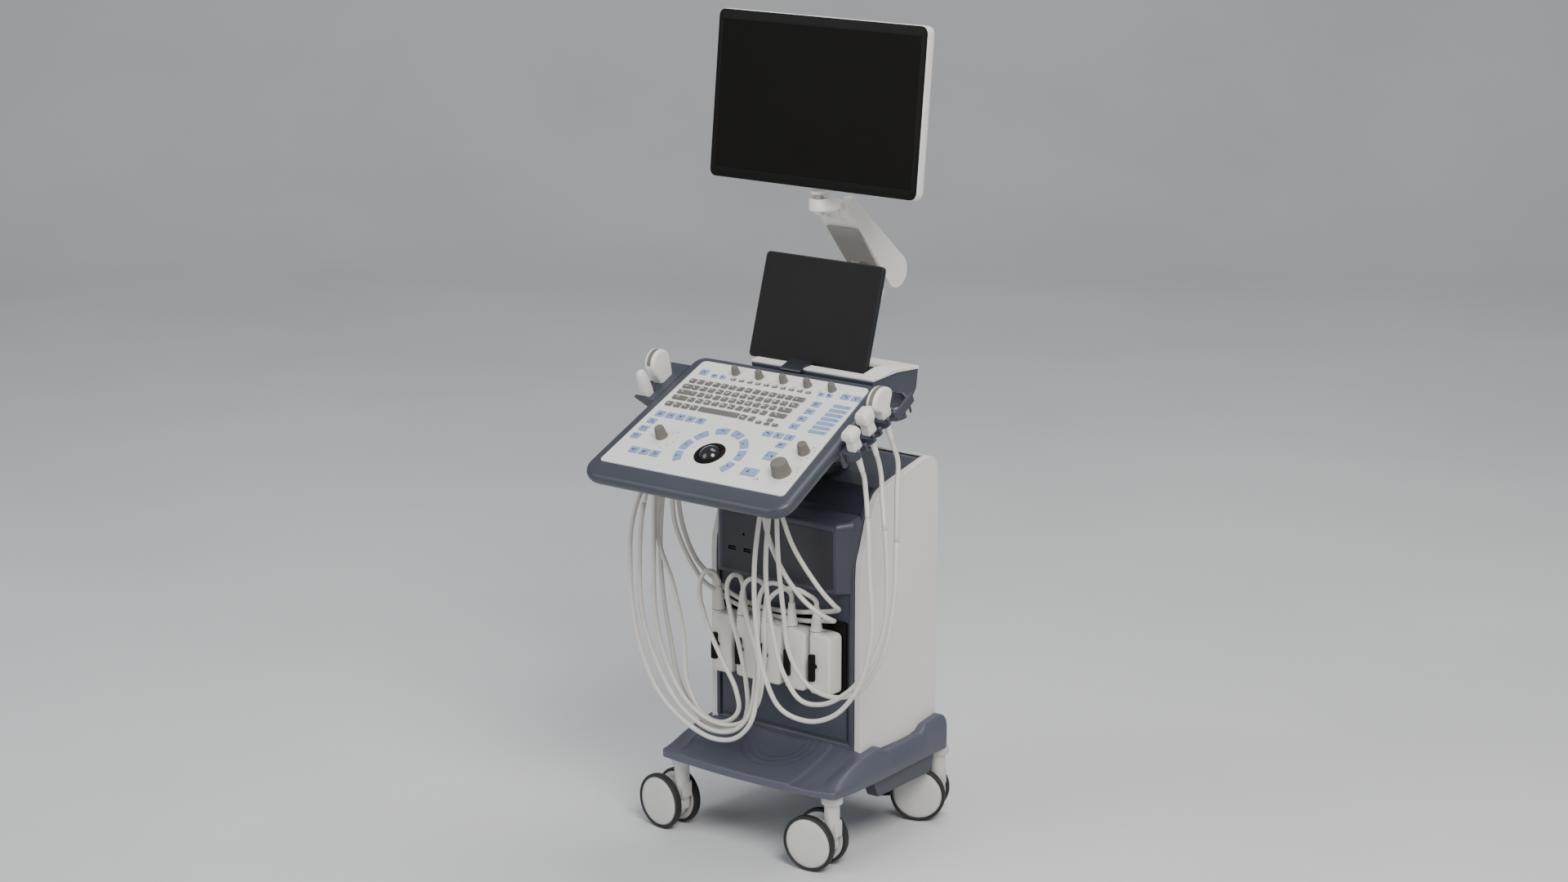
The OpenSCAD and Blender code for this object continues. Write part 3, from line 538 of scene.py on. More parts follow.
def tube(path, sides=16):
    """A cable's skin along a path, without twist."""
    rings = []
    side = None
    angles = [2 * math.pi * k / sides for k in range(sides)]
    for i, here in enumerate(path):
        ahead = (path[min(i + 1, len(path) - 1)] - path[max(i - 1, 0)]).normalized()
        side = side or ahead.orthogonal()
        side = (side - ahead * side.dot(ahead)).normalized()
        other = ahead.cross(side)
        rings.append([tuple(here + CABLE_R * (math.cos(a) * side + math.sin(a) * other)) for a in angles])
    return loft(rings)


def cable_piece(name, path, node, bend):
    """A stretch of a cable. bend is a body it rides on; when it is a tuple (body, body, start, end), its
    parts are not used and the stretch rides on no body.
    """
    mesh = to_mesh(name, tube(path))
    obj = linked(name, mesh)
    mesh.materials.append(M["cable"][1])
    if isinstance(bend, str):
        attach(obj, bend)
    else:
        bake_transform(obj)
    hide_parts(node)


def cables():
    still, moving = (0, 0, 0.50), (0, 0, 0.70)
    # name, route, index where the drop from the probe ends, index of the first peg's top or none,
    # place given with the tail
    table = [
        ("right_convex", RIGHT_CONVEX, 4, 17, moving), ("right_2", RIGHT_2, 4, 19, moving),
        ("right_1", RIGHT_1, 3, 17, moving), ("left_small", LEFT_SMALL, 4, None, (0, 0, 0.600)),
        ("left_convex", LEFT_CONVEX, 4, None, (0, 0, 0.612)),
    ]
    for name, route, split, peg, top in table:
        node = "cable_" + name
        path = smoothed(route)
        cut = split * STEPS
        follows = ("console", "probe_" + name, tuple(path[cut] * MM), tuple(path[3] * MM))
        cable_piece(node + "_drop", path[: cut + 1], node, follows)
        if peg:
            cable_piece(node + "_loop", path[cut : peg * STEPS + 1], node, "console")
            cut = peg * STEPS
        cable_piece(node + "_tail", path[cut:], node, ("base", "console", still, top))


# ---------- base ----------
TRAY_LOW = 140
TRAY_TOP = 152
# middle of the tray from its front rim to the column: distance along y, height
RAMP = [
    (-130, 152), (-112, 153.5), (-90, 157.5), (-75, 161.5), (-60, 166), (-45, 171), (-30, 177),
    (-15, 184), (0, 193),
]
# upper edge of the side fenders: distance along y, height
RIDGE = [
    (-112, 152), (-103, 154.5), (-81, 165), (-57, 174), (-26, 183), (3, 187.5), (34, 191.5), (42, 191),
    (56, 181), (62, 179), (110, 180), (158, 182), (165, 183.5), (178, 194), (186, 195.5), (226, 201),
    (238, 197), (250, 184),
]
# half width of the tray along y
WIDTH = [(-130, 191), (-96, 192), (-60, 197), (0, 196), (190, 190), (260, 190)]


def along(table, y):
    """Value at y, read off a table of (y, value) pairs and smoothed a little at its corners."""

    def plain(q):
        for (y0, a), (y1, b) in zip(table, table[1:]):
            if q <= y1:
                return a + (b - a) * max(0.0, q - y0) / (y1 - y0)
        return table[-1][1]
    return (plain(y - 2) + plain(y) + plain(y + 2)) / 3


def step(t):
    """A smooth step from 0 to 1 as t goes from 0 to 1."""
    t = max(0.0, min(1.0, t))
    return t * t * (3 - 2 * t)


def tray_height(x, y):
    """Top of the tray: a ramp with two creases and round steps, and a fender along each side."""
    ramp, ridge = along(RAMP, min(y, 0)), along(RIDGE, y)
    z = ramp + 1.4
    back = step((y + 126) / 126)
    z -= 3.2 * step((x - 97 - 6 * back) / 4.5)
    z -= 1.0 * step((x - 122 - 8 * back) / 5)
    z -= 3.0 * step((5 - abs(x + 151)) / 5) * step((y + 118) / 30)
    away = math.hypot(x - 6, y + 8)
    for radius in (74, 59, 45):
        z -= 1.7 * (1 - step((away - radius) / 3))
    side = step((abs(x) - 146) / 28)
    z = z * (1 - side) + ridge * side
    if y > 0 and abs(x) > 163:
        z = ridge
    if y > 6 and abs(x) < 158:
        z = TRAY_TOP + 1
    if abs(x) > 176:
        out = (abs(x) - 176) / max(6.0, along(WIDTH, y) - 176)
        z = TRAY_TOP + (ridge - TRAY_TOP) * (1 - min(1.0, out) ** 1.7)
    return z


def spread(low, high, n, edge=4.5, rows=5):
    """Values from low to high, close together in a rounded margin at both ends."""
    margin = [edge * (1 - math.cos(math.pi / 2 * i / rows)) for i in range(rows)]
    middle = [low + edge + (high - low - 2 * edge) * i / n for i in range(n + 1)]
    return [low + m for m in margin] + middle + [high - m for m in reversed(margin)]


def tray():
    """The tray as a grid of points over its plan, with a flat underside."""
    edge = 3.2
    front_y, length, widest = -126, 376, 197
    across = [v / widest for v in spread(-widest, widest, 150, edge)]
    ahead = [(v - front_y) / length for v in spread(front_y, front_y + length, 170, edge)]

    def fall(d):
        return edge - math.sqrt(max(0.0, edge**2 - (edge - min(d, edge)) ** 2))

    columns = []
    for s in across:
        x0 = abs(s) * 192
        front = front_y + 9 * (min(x0, 178) / 155) ** 2
        if x0 > 178:
            front += 14 - math.sqrt(max(0.0, 14**2 - (x0 - 178) ** 2))
        rear = 222 + math.sqrt(max(0.0, 28**2 - max(0.0, abs(s) * 190 - 162) ** 2))
        column = []
        for t in ahead:
            y = front + (rear - front) * t
            x = s * along(WIDTH, y)
            near = min(y - front, rear - y, (1 - abs(s)) * 192)
            column.append((x, y, tray_height(x, y) - fall(near)))
        columns.append(column)
    nx, ny = len(columns), len(columns[0])
    verts = [p for col in columns for p in col] + [(x, y, TRAY_LOW) for col in columns for x, y, z in col]
    under = nx * ny
    faces = []
    for i in range(nx - 1):
        for j in range(ny - 1):
            a, b, c, d = i * ny + j, (i + 1) * ny + j, (i + 1) * ny + j + 1, i * ny + j + 1
            faces += [(a, b, c, d), (under + a, under + d, under + c, under + b)]
    rim = [i * ny for i in range(nx)] + [(nx - 1) * ny + j for j in range(1, ny)]
    rim += [i * ny + ny - 1 for i in range(nx - 2, -1, -1)] + list(range(ny - 2, 0, -1))
    faces += [(a, b, under + b, under + a) for a, b in zip(rim, rim[1:] + rim[:1])]
    return verts, faces


def base():
    def slate(name, shape, bevel):
        piece(name, shape, "slate", "base", "base_tray", bevel=bevel)

    # the tray's lighter slate is painted light standing in for light from above
    piece("base_tray_shell", tray(), "tray", "base", "base_tray", angle=40)
    skirt = rounded([(11, 142), (31, 103), (188, 104), (200, 134), (206, 142)], [0, 3, 4, 4, 0])
    for side, name in SIDES:
        slate(f"base_skirt_{name}", beside(skirt, side, 158, 183), 2.0)
    apron = [(-8, 176), (-2, 184), (0.4, 196), (2.2, 199), (2.2, 150), (-8, 150)]
    slate("base_apron", prism(rounded(apron, [4, 6, 2, 0, 0, 0]), -150, 150, "x"), 1.0)
    lip = rounded([(236, 150), (248, 150), (247, 194), (236, 196)], [0, 0, 5, 1])
    slate("base_rear_lip", prism(lip, -166, 166, "x"), 1.0)


# ---------- casters ----------
# place of each stem and the angle its wheels are swivelled to, in degrees
CASTERS = {"fl": (-166, -83, 172), "fr": (166, -83, 185), "rl": (-166, 238, 0), "rr": (166, 238, 205)}


def wheel(side):
    """One wheel: black tyre, white domed disc with a shallow step, hub ring towards the fork."""
    tyre = [(44.6, -7), (47.4, -7), (49.2, -5.6), (50, -3), (50, 3), (49.2, 5.6), (47.4, 7), (45.6, 7)]
    tyre += [(44.6, 6)]
    disc = [(0.1, 8.0), (20, 7.9), (34, 7.3), (41, 6.3), (44.3, 4.6), (44.7, 3), (44.7, -5.5), (40, -6.6)]
    disc += [(30, -6.6), (28.5, -5), (14, -5), (12, -6.9), (5.2, -6.9), (5.2, -4.5), (0.1, -4.5)]
    centre = (TRAIL, side * 23, WHEEL_R)
    tyre, disc = ([(r, side * h) for r, h in profile] for profile in (tyre, disc))
    return ring_of(tyre, centre, "y", 72), lathe(disc, centre, "y", 72)


def pedal():
    """Brake lever behind the wheels, on a barrel around its pin."""
    x = TRAIL + 41
    parts = []
    for side in (1, -1):
        barrel = [(3.5, side * 8), (3.5, side * 3.3), (2.1, side * 3.3), (2.1, side * 8)]
        parts.append(lathe(barrel, (x, 0, 46), "y", 24))
    lever = [(3, 40), (15, 37.6), (38, 35), (40, 39), (16, 43.6), (3, 45)]
    parts.append(prism(rounded([(x + a, z) for a, z in lever], 1.4), -9.5, 9.5, "y"))
    for i in range(4):
        ridge = x + 16 + 3 * i
        parts.append(box(ridge, -7.5, 41.5, ridge + 1.4, 7.5, 43.3 - 0.45 * i))
    return parts


def casters():
    stem = [(0.1, 149), (9.5, 149), (9.5, 139.6), (18.2, 139.4), (19, 138.5), (19, 123.4), (18.2, 122.4)]
    stem += [(15.4, 122), (14.2, 121), (13.6, 118), (13.6, 84), (13.2, 66), (11, 58), (0.1, 56)]
    hub = [(0.1, 12.6), (30, 12.6), (34.4, 11.4), (36, 8.6), (36, -8.6), (34.4, -11.4), (30, -12.6)]
    hub += [(0.1, -12.6)]
    axle = [(0.1, 27), (4.2, 27), (5, 26), (5, -26), (4.2, -27), (0.1, -27)]
    centre = (TRAIL, 0, WHEEL_R)
    fender = arc(TRAIL, WHEEL_R, 39, 95, 200, 14) + arc(TRAIL, WHEEL_R, 33, 200, 95, 14)
    arms = rounded([(-14, 60), (18, 60), (20, 90), (-14, 92)], 6)
    for name, (x, y, angle) in CASTERS.items():
        place = Matrix.Translation((x, y, 0)) @ Matrix.Rotation(math.radians(angle), 4, "Z")
        shapes = [lathe(stem), lathe(hub, centre, "y", 64), prism(arms, -11, 11, "y")]
        shapes += [prism(fender, -11.5, 11.5, "y"), lathe(axle, centre, "y", 32)]
        if name[0] == "r":
            shapes += [box(TRAIL + 34, -3, 43, TRAIL + 41, 3, 49)]
            shapes += [rod(2, 8, -8, (TRAIL + 41, 0, 46), "y", 20)]
            node = f"brake_pedal_{name}"
            piece(f"{node}_lever", pedal(), "black", node, node, place, bevel=0.5)
        body = f"caster_{name}"
        piece(f"{body}_stem", shapes, "wheel", body, f"{body}_fork", place, bevel=0.9, angle=40)
        wheels = f"{body}_wheels"
        for side, which in ((-1, "a"), (1, "b")):
            tyre, disc = wheel(side)
            piece(f"{body}_tyre_{which}", tyre, "tyre", wheels, wheels, place)
            piece(f"{body}_disc_{which}", disc, "wheel", wheels, wheels, place, angle=50)


# ---------- column ----------
SIDE_PROFILE = [
    (2, 176), (2, 500), (4, 530), (16, 561), (28, 597), (41, 628), (55, 643), (75, 653), (110, 661),
    (190, 678.5), (206, 680), (220, 675), (229, 663), (232, 646), (232, 166),
]
SCREWS = [(x, z) for x in (-130, 130) for z in (220, 330, 460, 640)]
# left edge of each of the two small ports in the drive module
PORTS = (-106, -72)


def plan(inset, low, slope=0.0):
    """Drive module seen from above, drawn in by inset, at a height that may rise to the rear."""
    outline = [(-149.6 + inset, 28), (-149.6 + inset, 3), (-127 + inset * 0.8, -22 + inset)]
    outline += [(127 - inset * 0.8, -22 + inset), (149.6 - inset, 3), (149.6 - inset, 28)]
    return [(x, y, low + slope * (y + 22)) for x, y in rounded(outline, [0, 6, 5, 5, 6, 0], 4)]


def column():
    def slate(name, shape, node, **look):
        piece(name, shape, "slate", "base", node, **look)

    smooth_side = rounded(SIDE_PROFILE, [2, 60, 40, 40, 60, 30, 14, 20, 40, 14, 14, 14, 14, 14, 2], 6)
    for side, name in SIDES:
        shape = beside(smooth_side, side, 150, 164)
        cover = f"{name}_side_cover"
        piece(f"side_cover_{name}", shape, "side", "base", cover, bevel=6.5, segments=6, angle=40)
    slate("front_fascia_panel", [box(-149.8, 2, 160, 149.8, 9, 473.8)], "front_fascia", bevel=1.2)
    rib = [(4, 198), (-2.4, 198), (-2.4, 498), (-0.6, 528), (11, 559), (23, 595), (36, 626), (51, 641)]
    rib += [(72, 651), (75, 640), (58, 630), (44, 612), (31, 592), (21, 560), (8, 531), (4, 500)]
    rib = rounded(rib, [0, 2, 60, 40, 40, 60, 30, 20, 0, 0, 20, 20, 40, 30, 30, 0], 5)
    for side, name in SIDES:
        shape = beside(rib, side, 142, 149.8)
        slate(f"front_fascia_rib_{name}", shape, "front_fascia", bevel=2.2, segments=4)
    kerb = rounded([(-1.4, 205), (2.5, 205), (2.5, 286), (-1.4, 284)], 1)
    slate("front_fascia_lower_panel", [prism(kerb, -136, 136, "x")], "front_fascia", bevel=0.8)
    rear_cover()
    top = [(28.1, 592), (36, 612), (52, 634), (72, 646.5), (110, 656.6), (190, 674.3), (203, 675.5)]
    top += [(203, 668), (110, 648), (75, 640), (58, 630), (44, 612)]
    shape = prism(rounded(top, [0, 20, 20, 20, 60, 8, 4, 0, 0, 0, 0, 0], 5), -149.4, 149.4, "x")
    cuts = [rod(38, 600, 700, LIFT, n=64)]
    piece("top_cover_panel", shape, "slate_gloss", "base", "top_cover", bevel=3.2, segments=4, cuts=cuts)
    collar = [(37.6, 640), (44, 640), (44, 665), (42.5, 667), (38.5, 667), (37.6, 666)]
    piece("lift_collar", ring_of(collar, LIFT), "dark", "base")
    rings = [plan(2.0, 474), plan(0.6, 474.6), plan(0, 476), plan(0, 588), plan(0.6, 592.5, 0.02)]
    rings += [plan(2.6, 596, 0.08), plan(6, 598, 0.13), plan(10, 598.9, 0.15)]
    cuts = [prism(rect(x, 517, x + 17, 524, 1), -30, -12, "y") for x in PORTS]
    cuts += [rod(2.5, -45, -12, (PORTS[1], 0, 549), "y", 24)]
    slate("drive_module_block", loft(rings), "drive_module", cuts=cuts, angle=30)
    front = prism(rect(-119, 481, 120, 585, 3), -23.2, -21.5, "y")
    piece("drive_module_front", front, "dark", "base", "drive_module", bevel=0.6, cuts=cuts)
    lining = [box(x + 0.2, -14, 517.2, x + 16.8, -12.2, 523.8) for x in PORTS]
    piece("drive_module_port_linings", lining, "black", "base", bevel=0.3)
    tongues = [box(x + 2, -21, 519, x + 15, -12.4, 520.6) for x in PORTS]
    piece("drive_module_port_tongues", tongues, "dark", "base", bevel=0.2)


def rear_cover():
    """Rear cover with vents, a mains inlet and screws in shallow wells."""
    rear = [(224, 198), (232, 198), (232, 646), (229, 663), (220, 675), (206, 680), (206, 676)]
    rear += [(217, 671.5), (225.2, 661), (224, 645)]
    cuts = [box(x, 220, 352 + 12 * i, x + 80, 240, 357 + 12 * i) for x in (60, -140) for i in range(6)]
    cuts += [prism(rect(-24, 230, 24, 262, 3), 220, 240, "y")]
    cuts += [rod(4.3, 229.7, 240, (x, 0, z), "y", 24) for x, z in SCREWS]
    shape = prism(rounded(rear, [0, 1, 12, 12, 12, 2, 0, 6, 6, 0], 5), -149.8, 149.8, "x")
    piece("rear_cover_panel", shape, "white", "base", "rear_cover", bevel=0.6, cuts=cuts)
    socket = [prism(rect(-23.6, 230.4, 23.6, 261.6, 3), 221, 225, "y")]
    socket += [box(x - 1.2, 225, z, x + 1.2, 229, z + 10) for x, z in ((-9, 240), (9, 240), (0, 244))]
    piece("rear_inlet_socket", socket, "black", "base", bevel=0.4)
    head = [(0.1, 229.8), (4, 229.8), (4, 230.8), (3.2, 231.6), (0.1, 231.6)]
    screws = []
    for x, z in SCREWS:
        screws += [lathe(head, (x, 0, z), "y", 24)]
        screws += [box(x - 2.4, 231, z - 0.4, x + 2.4, 231.9, z + 0.4)]
        screws += [box(x - 0.4, 231, z - 2.4, x + 0.4, 231.9, z + 2.4)]
    piece("cover_screw_heads", screws, "steel", "base", "cover_screws")


# ---------- sockets and plugs ----------
def sockets():
    wells = [box(i * SOCKET_PITCH - 20, -6, 298, i * SOCKET_PITCH + 20, -1.5, 392) for i in range(-2, 3)]
    shape = [prism(rect(-136, 288, 136, 420, 4), -4, 2, "y")]
    piece("socket_frame", shape, "black", "base", "socket_panel", bevel=0.8, cuts=wells)
    outline = [(-22, 294), (22, 294), (22, 401), (4, 403), (-4, 403), (-22, 403)]
    outline = rounded(outline, [9, 9, 14, 6, 0, 6], 7)
    neck = [(0.1, 402), (11.2, 402), (11.4, 405.6), (10.6, 406.2), (11.0, 406.8), (10.4, 410), (8.4, 421)]
    neck += [(6.9, 434), (6.2, 442), (5.8, 447.2), (4.6, 448), (0.1, 448)]
    ring = [(6.7, 428), (7.9, 428), (7.7, 430), (6.6, 430)]
    seam = [(11.1, 405.7), (11.5, 405.7), (11.5, 406.6), (11.1, 406.6)]
    latch = prism(rounded([(-19, 318), (-8, 318), (-8, 366), (-19, 366)], 2.5), -49, -41.5, "y")
    pivot = [(0.1, -49.6), (3.2, -49.6), (4.2, -48.6), (4.2, -42), (0.1, -42)]
    exit_at = (-14, -31, 0)
    for i in range(5):
        place = Matrix.Translation(((i - 2) * SOCKET_PITCH, 0, 0))
        body = prism(outline, -42, -4, "y")
        name = f"plug_body_{i + 1}"
        piece(name, body, "warm", "base", "probe_plugs", place, bevel=6.5, segments=6, angle=50)
        shapes = [lathe(neck, exit_at, "z", 40), ring_of(ring, exit_at)]
        piece(f"plug_neck_{i + 1}", shapes, "warm", "base", "probe_plugs", place)
        piece(f"plug_seam_{i + 1}", [ring_of(seam, exit_at)], "ink", "base", (), place)
        lever = [latch, lathe(pivot, (-8, 0, 345), "y", 24)]
        lever += [box(-17.5, -49.7, 322 + 4 * k, -10, -48.8, 323.8 + 4 * k) for k in range(4)]
        piece(f"plug_lock_{i + 1}", lever, "black", "base", "plug_locks", place, bevel=0.9)


# ---------- console ----------
def half(v):
    """Half the console's width at v."""
    return 211 - 0.05 * v


def shell_ring(h, inset, n=9):
    """The console's outline at height h, pulled in by inset."""
    front, rear = 38 - inset, 25 - inset
    fx, rx = half(-147) - 38, half(140) - 25
    outline = arc(fx, -147, front, -90, 0, n) + arc(rx, 140, rear, 0, 90, n)
    outline += arc(-rx, 140, rear, 90, 180, n) + arc(-fx, -147, front, 180, 270, n)
    return [(u, v, h) for u, v in outline]


def console():
    def slate(name, shape, place=None, **look):
        piece(name, shape, "slate", "console", "console_shell", place, **look)

    side = [(-28, 13), (-27, 9), (-24, 5.5), (-20, 2.6), (-16, 0.8), (-12, 0), (-8, 0.6), (-5, 2.2)]
    side += [(-2.6, 5), (-1.4, 8.5), (-1.1, 12)]
    shell = loft([shell_ring(h, inset) for h, inset in side])
    slate("console_shell_frame", shell, DECK, cuts=[rod(24, -30, 5, TRACKBALL)], angle=50)
    cup = lathe([(27, -36), (27, -26), (24.5, -26), (24.5, -34), (0.1, -34), (0.1, -36)], TRACKBALL)
    piece("trackball_housing", cup, "dark", "console", "console_shell", DECK)
    stand = [(150, 772.2), (150, 799), (30, 799), (20, 819), (-10, 806), (-10, 776), (60, 772.2)]
    stand = prism(rounded(stand, [3, 0, 0, 0, 4, 8, 12]), -120, 120, "x")
    slate("console_stand", stand, bevel=4, segments=4)
    pegs = []
    for x, y0, y1 in ((45, -146, -56), (-190, -120, -56)):
        peg = [(0.1, y0), (5.2, y0), (6, y0 + 0.8), (6, y1 - 0.8), (5.2, y1), (0.1, y1)]
        pegs.append(lathe(peg, (x, 0, PEG_Z), "y", 32))
        for y in (y0, y1 - 5):
            top = DECK_ORIGIN.z - 26 + (y - DECK_ORIGIN.y) * math.tan(DECK_TILT)
            pegs.append(box(x - 4, y, PEG_Z - 6, x + 4, y + 5, top))
    slate("cable_pegs", pegs)
    plate = arc(-188.6, -140, 7, 180, 270, 6) + arc(188.6, -140, 7, 270, 360, 6)
    plate += arc(169.5, 138, 10, 0, 90, 6) + arc(-169.5, 138, 10, 90, 180, 6)
    plate, hole = prism(plate, -4, 1.3), rod(24, -12, 6, TRACKBALL, n=64)
    look = {"bevel": 1.1, "segments": 4, "cuts": [hole], "angle": 50}
    piece("console_deck_plate", plate, "deck", "console", "console_deck", DECK, **look)
    ring = [(19.4, 0.5), (19.4, 2.6), (20.6, 3.6), (25, 3.6), (27.8, 2.4), (28.8, 1.0), (28.4, 0.5)]
    ring = ring_of(ring, TRACKBALL, "z", 144, 36, 0.5)
    piece("trackball_ring", ring, "black", "console", (), DECK)
    ball = bmesh.new()
    bmesh.ops.create_icosphere(ball, subdivisions=5, radius=22)
    centre = Vector((-3, -81, -9))
    verts = [tuple(v.co + centre) for v in ball.verts]
    faces = [tuple(v.index for v in f.verts) for f in ball.faces]
    ball.free()
    piece("trackball_ball", (verts, faces), "ball", "trackball", "trackball", DECK, angle=80)
    # CAD nodes that stay in view as they are, each with a material of its own
    shown = {"lift_column": "lift", "power_supply": "steel", "electronics_rack": "board"}
    shown.update({"chassis_frame": "steel", "fan_rotor": "dark"})
    for name, material in shown.items():
        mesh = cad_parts[name].data
        mesh.materials.clear()
        mesh.materials.append(M[material][1])


# ---------- keys ----------
KEY_PITCH = 17.4
KEY_TOP = 4.2
# first key of each row: u, v, number of keys, width
ROWS = [(-160.5, 89.5, 13, 13.4), (-142.5, 73, 12, 13.4), (-138, 57, 11, 13.4), (-129.5, 41, 10, 13.4)]
# keys wider than the rest: u, v, width
WIDE_KEYS = [
    (69.5, 89.5, 23), (-160.5, 73, 20), (69.5, 73, 18), (-158, 57, 25), (61.5, 57, 27), (-155, 41, 31),
    (58, 41, 34),
]
# blue keys: u, v, width, depth
SOFT_KEYS = [(-156, 117, 17, 15), *((u, 112, 12, 9) for u in (-129.5, -111.5, 100.5, 118))]
SOFT_KEYS += [(149.5, 116, 19, 14), (172, 116, 19, 14), (108.5, 85.5, 18, 14), (108, 64.5, 18, 14)]
SOFT_KEYS += [(107, 43.5, 18, 14), (105.5, 22, 18, 14), *((u, -7.5, 19, 14) for u in (69.5, 92, 114.5))]
SOFT_KEYS += [(112.5, -29.5, 18, 14), (110, -60, 20, 22), (100.5, -107, 32, 20)]
SOFT_KEYS += [(u, -7, 18, 15) for u in range(-163, -74, 22)]
SOFT_KEYS += [(-166, -28.5, 18, 14), (-168, -50.5, 18, 14), (-170, -72, 18, 14)]
SOFT_KEYS += [(u, -107, 19, 16) for u in (-147.5, -125, -102.5)]
SOFT_TOP = 3.0
RING_ANGLES = (201, 171, 140, 104, 71, 38, 7, -25)
RING_CENTRE = (-2, -80, 0)
GAIN_BARS = [(160 - 0.75 * i, 89.5 - 12 * i) for i in range(7)]


def keycap(u, v, w, d, low, high, dish=0.25, draft=0.9):
    """A key with sloping sides, a rounded top edge and a shallow dished top."""
    r = 1.6
    rings = []
    for h, e in ((low, 0), (high - 0.8, draft * 0.6), (high - 0.25, draft), (high, draft + 0.5)):
        outline = rect(u - w / 2 + e, v - d / 2 + e, u + w / 2 - e, v + d / 2 - e, r, 3)
        rings.append([(x, y, h) for x, y in outline])
    rings.append([(x + (u - x) * 0.5, y + (v - y) * 0.5, high - dish) for x, y, h in rings[-1]])
    return loft(rings)


def stroke(x0, y0, x1, y1, h, width):
    """A thin printed line on the deck or on a key."""
    reach = Vector((x1 - x0, y1 - y0)).normalized() * width / 2
    a, b = Vector((x0, y0)) - reach * 0.4, Vector((x1, y1)) + reach * 0.4
    side = Vector((-reach.y, reach.x))
    outline = [tuple(a - side), tuple(b - side), tuple(b + side), tuple(a + side)]
    return prism(outline, h - 0.12, h + 0.06)


def glyph(u, v, size, h, width, bars):
    """A small generic mark of a few strokes."""
    marks = []
    for _ in range(bars):
        x0, y0 = u + random.uniform(-size, size), v + random.uniform(-size, size) * 0.6
        turn = random.choice((0, 45, 90, 135))
        reach = size * random.uniform(0.6, 1.1)
        dx, dy = reach * math.cos(math.radians(turn)), reach * math.sin(math.radians(turn))
        marks.append(stroke(x0 - dx / 2, y0 - dy / 2, x0 + dx / 2, y0 + dy / 2, h, width))
    return marks


def keys():
    typing = [(u0 + i * KEY_PITCH, v, w, 11, KEY_TOP) for u0, v, n, w in ROWS for i in range(n)]
    typing += [(u, v, w, 11, KEY_TOP) for u, v, w in WIDE_KEYS]
    typing += [(u, 22, 14.5, 12, KEY_TOP) for u in (-164.5, -146.5, -128.5, -110.5)]
    typing += [(-2.7, 21, 14, 12, KEY_TOP), (15.5, 21, 12, 12, KEY_TOP)]
    typing += [(u, v, 12, 7.5, KEY_TOP) for u, v in ((34, 15.5), (51.5, 15.5), (69, 15.5), (51.5, 26))]
    function_keys = [(-87 + 17.95 * i, 111, 11, 6, 3.4) for i in range(10)]
    space = (-56, 22, 86, 12, KEY_TOP)
    caps = [keycap(u, v, w, d, 2.55, h) for u, v, w, d, h in typing + function_keys + [space]]
    piece("typing_keycaps", caps, "grey_key", "typing_keys", "typing_keys", DECK, angle=50)
    marks = []
    for u, v, w, d, h in typing:
        marks += glyph(u - w * 0.12, v + 0.5, min(w, d) * 0.26, h - 0.06, 1.6, 2)
    marks += [stroke(u - 2.6, v - 0.3, u + 1.6, v - 0.3, h - 0.1, 1.5) for u, v, w, d, h in function_keys]
    piece("typing_key_marks", marks, "pale_ink", "typing_keys", (), DECK)

    soft = [keycap(u, v, w, d, 1.2, SOFT_TOP, 0.15, 0.5) for u, v, w, d in SOFT_KEYS]
    soft += [keycap(u, v, 36, 8, 1.2, SOFT_TOP, 0.1, 0.5) for u, v in GAIN_BARS]
    piece("soft_keycaps", soft, "blue_key", "soft_keys", "soft_keys", DECK, angle=50)
    outline = arc(0, 0, 51.5, -12, 12, 6) + arc(0, 0, 66.5, 12, -12, 6)
    outline = rounded(outline, ([2] + [0] * 5 + [2]) * 2, 3)
    ring = []
    for a in RING_ANGLES:
        turn = Matrix.Translation(RING_CENTRE) @ Matrix.Rotation(math.radians(a), 4, "Z")
        ring.append(moved(prism(outline, 1.2, SOFT_TOP), turn))
    piece("ring_keycaps", ring, "blue_key", "soft_keys", "soft_keys", DECK, bevel=0.45, angle=50)
    marks = []
    for u, v, w, d in SOFT_KEYS:
        marks += glyph(u, v, min(w, d) * 0.28, SOFT_TOP - 0.02, 1.5, 3)
    marks += [stroke(u + 10, v, u + 14, v, SOFT_TOP - 0.02, 1.3) for u, v in GAIN_BARS]
    for a in RING_ANGLES:
        x = RING_CENTRE[0] + 59 * math.cos(math.radians(a))
        y = RING_CENTRE[1] + 59 * math.sin(math.radians(a))
        marks += glyph(x, y, 3.8, SOFT_TOP + 0.02, 1.3, 3)
    piece("soft_key_marks", marks, "blue_ink", "soft_keys", (), DECK)
    deck_marks()


def deck_marks():
    """Small generic marks printed on the deck beside knobs and keys."""
    lines = []
    for u, v, r, tall in list(KNOBS.values())[:5]:
        for k in range(3):
            x, y = u - 26 + 3 * k, 121 - 2 * (k % 2)
            lines.append((x, y, x + 1.4, y, 1.0))
    lines += [(-89 + 17.95 * i, 118, -85.5 + 17.95 * i, 118, 0.9) for i in range(10)]
    for cu, cv, r, a0, a1 in ((-120, -62, 30, -60, 35), (165, -36, 19, -70, 60), (158, -94, 28, -40, 40)):
        for x, y in arc(cu, cv, r, a0, a1, 4):
            lines += [(x - 1.6, y, x + 1.6, y, 0.9), (x - 1.2, y - 2, x + 0.8, y - 2, 0.8)]
    lines += [(118, -124, 124, -117, 1.4), (124, -117, 126, -122, 1.2)]
    lines += [(143, 130, 147, 130, 0.7), (143, 132, 145, 132, 0.7)]
    printed = [stroke(x0, y0, x1, y1, 1.32, width) for x0, y0, x1, y1, width in lines]
    piece("deck_printed_marks", printed, "ink", "console", (), DECK)


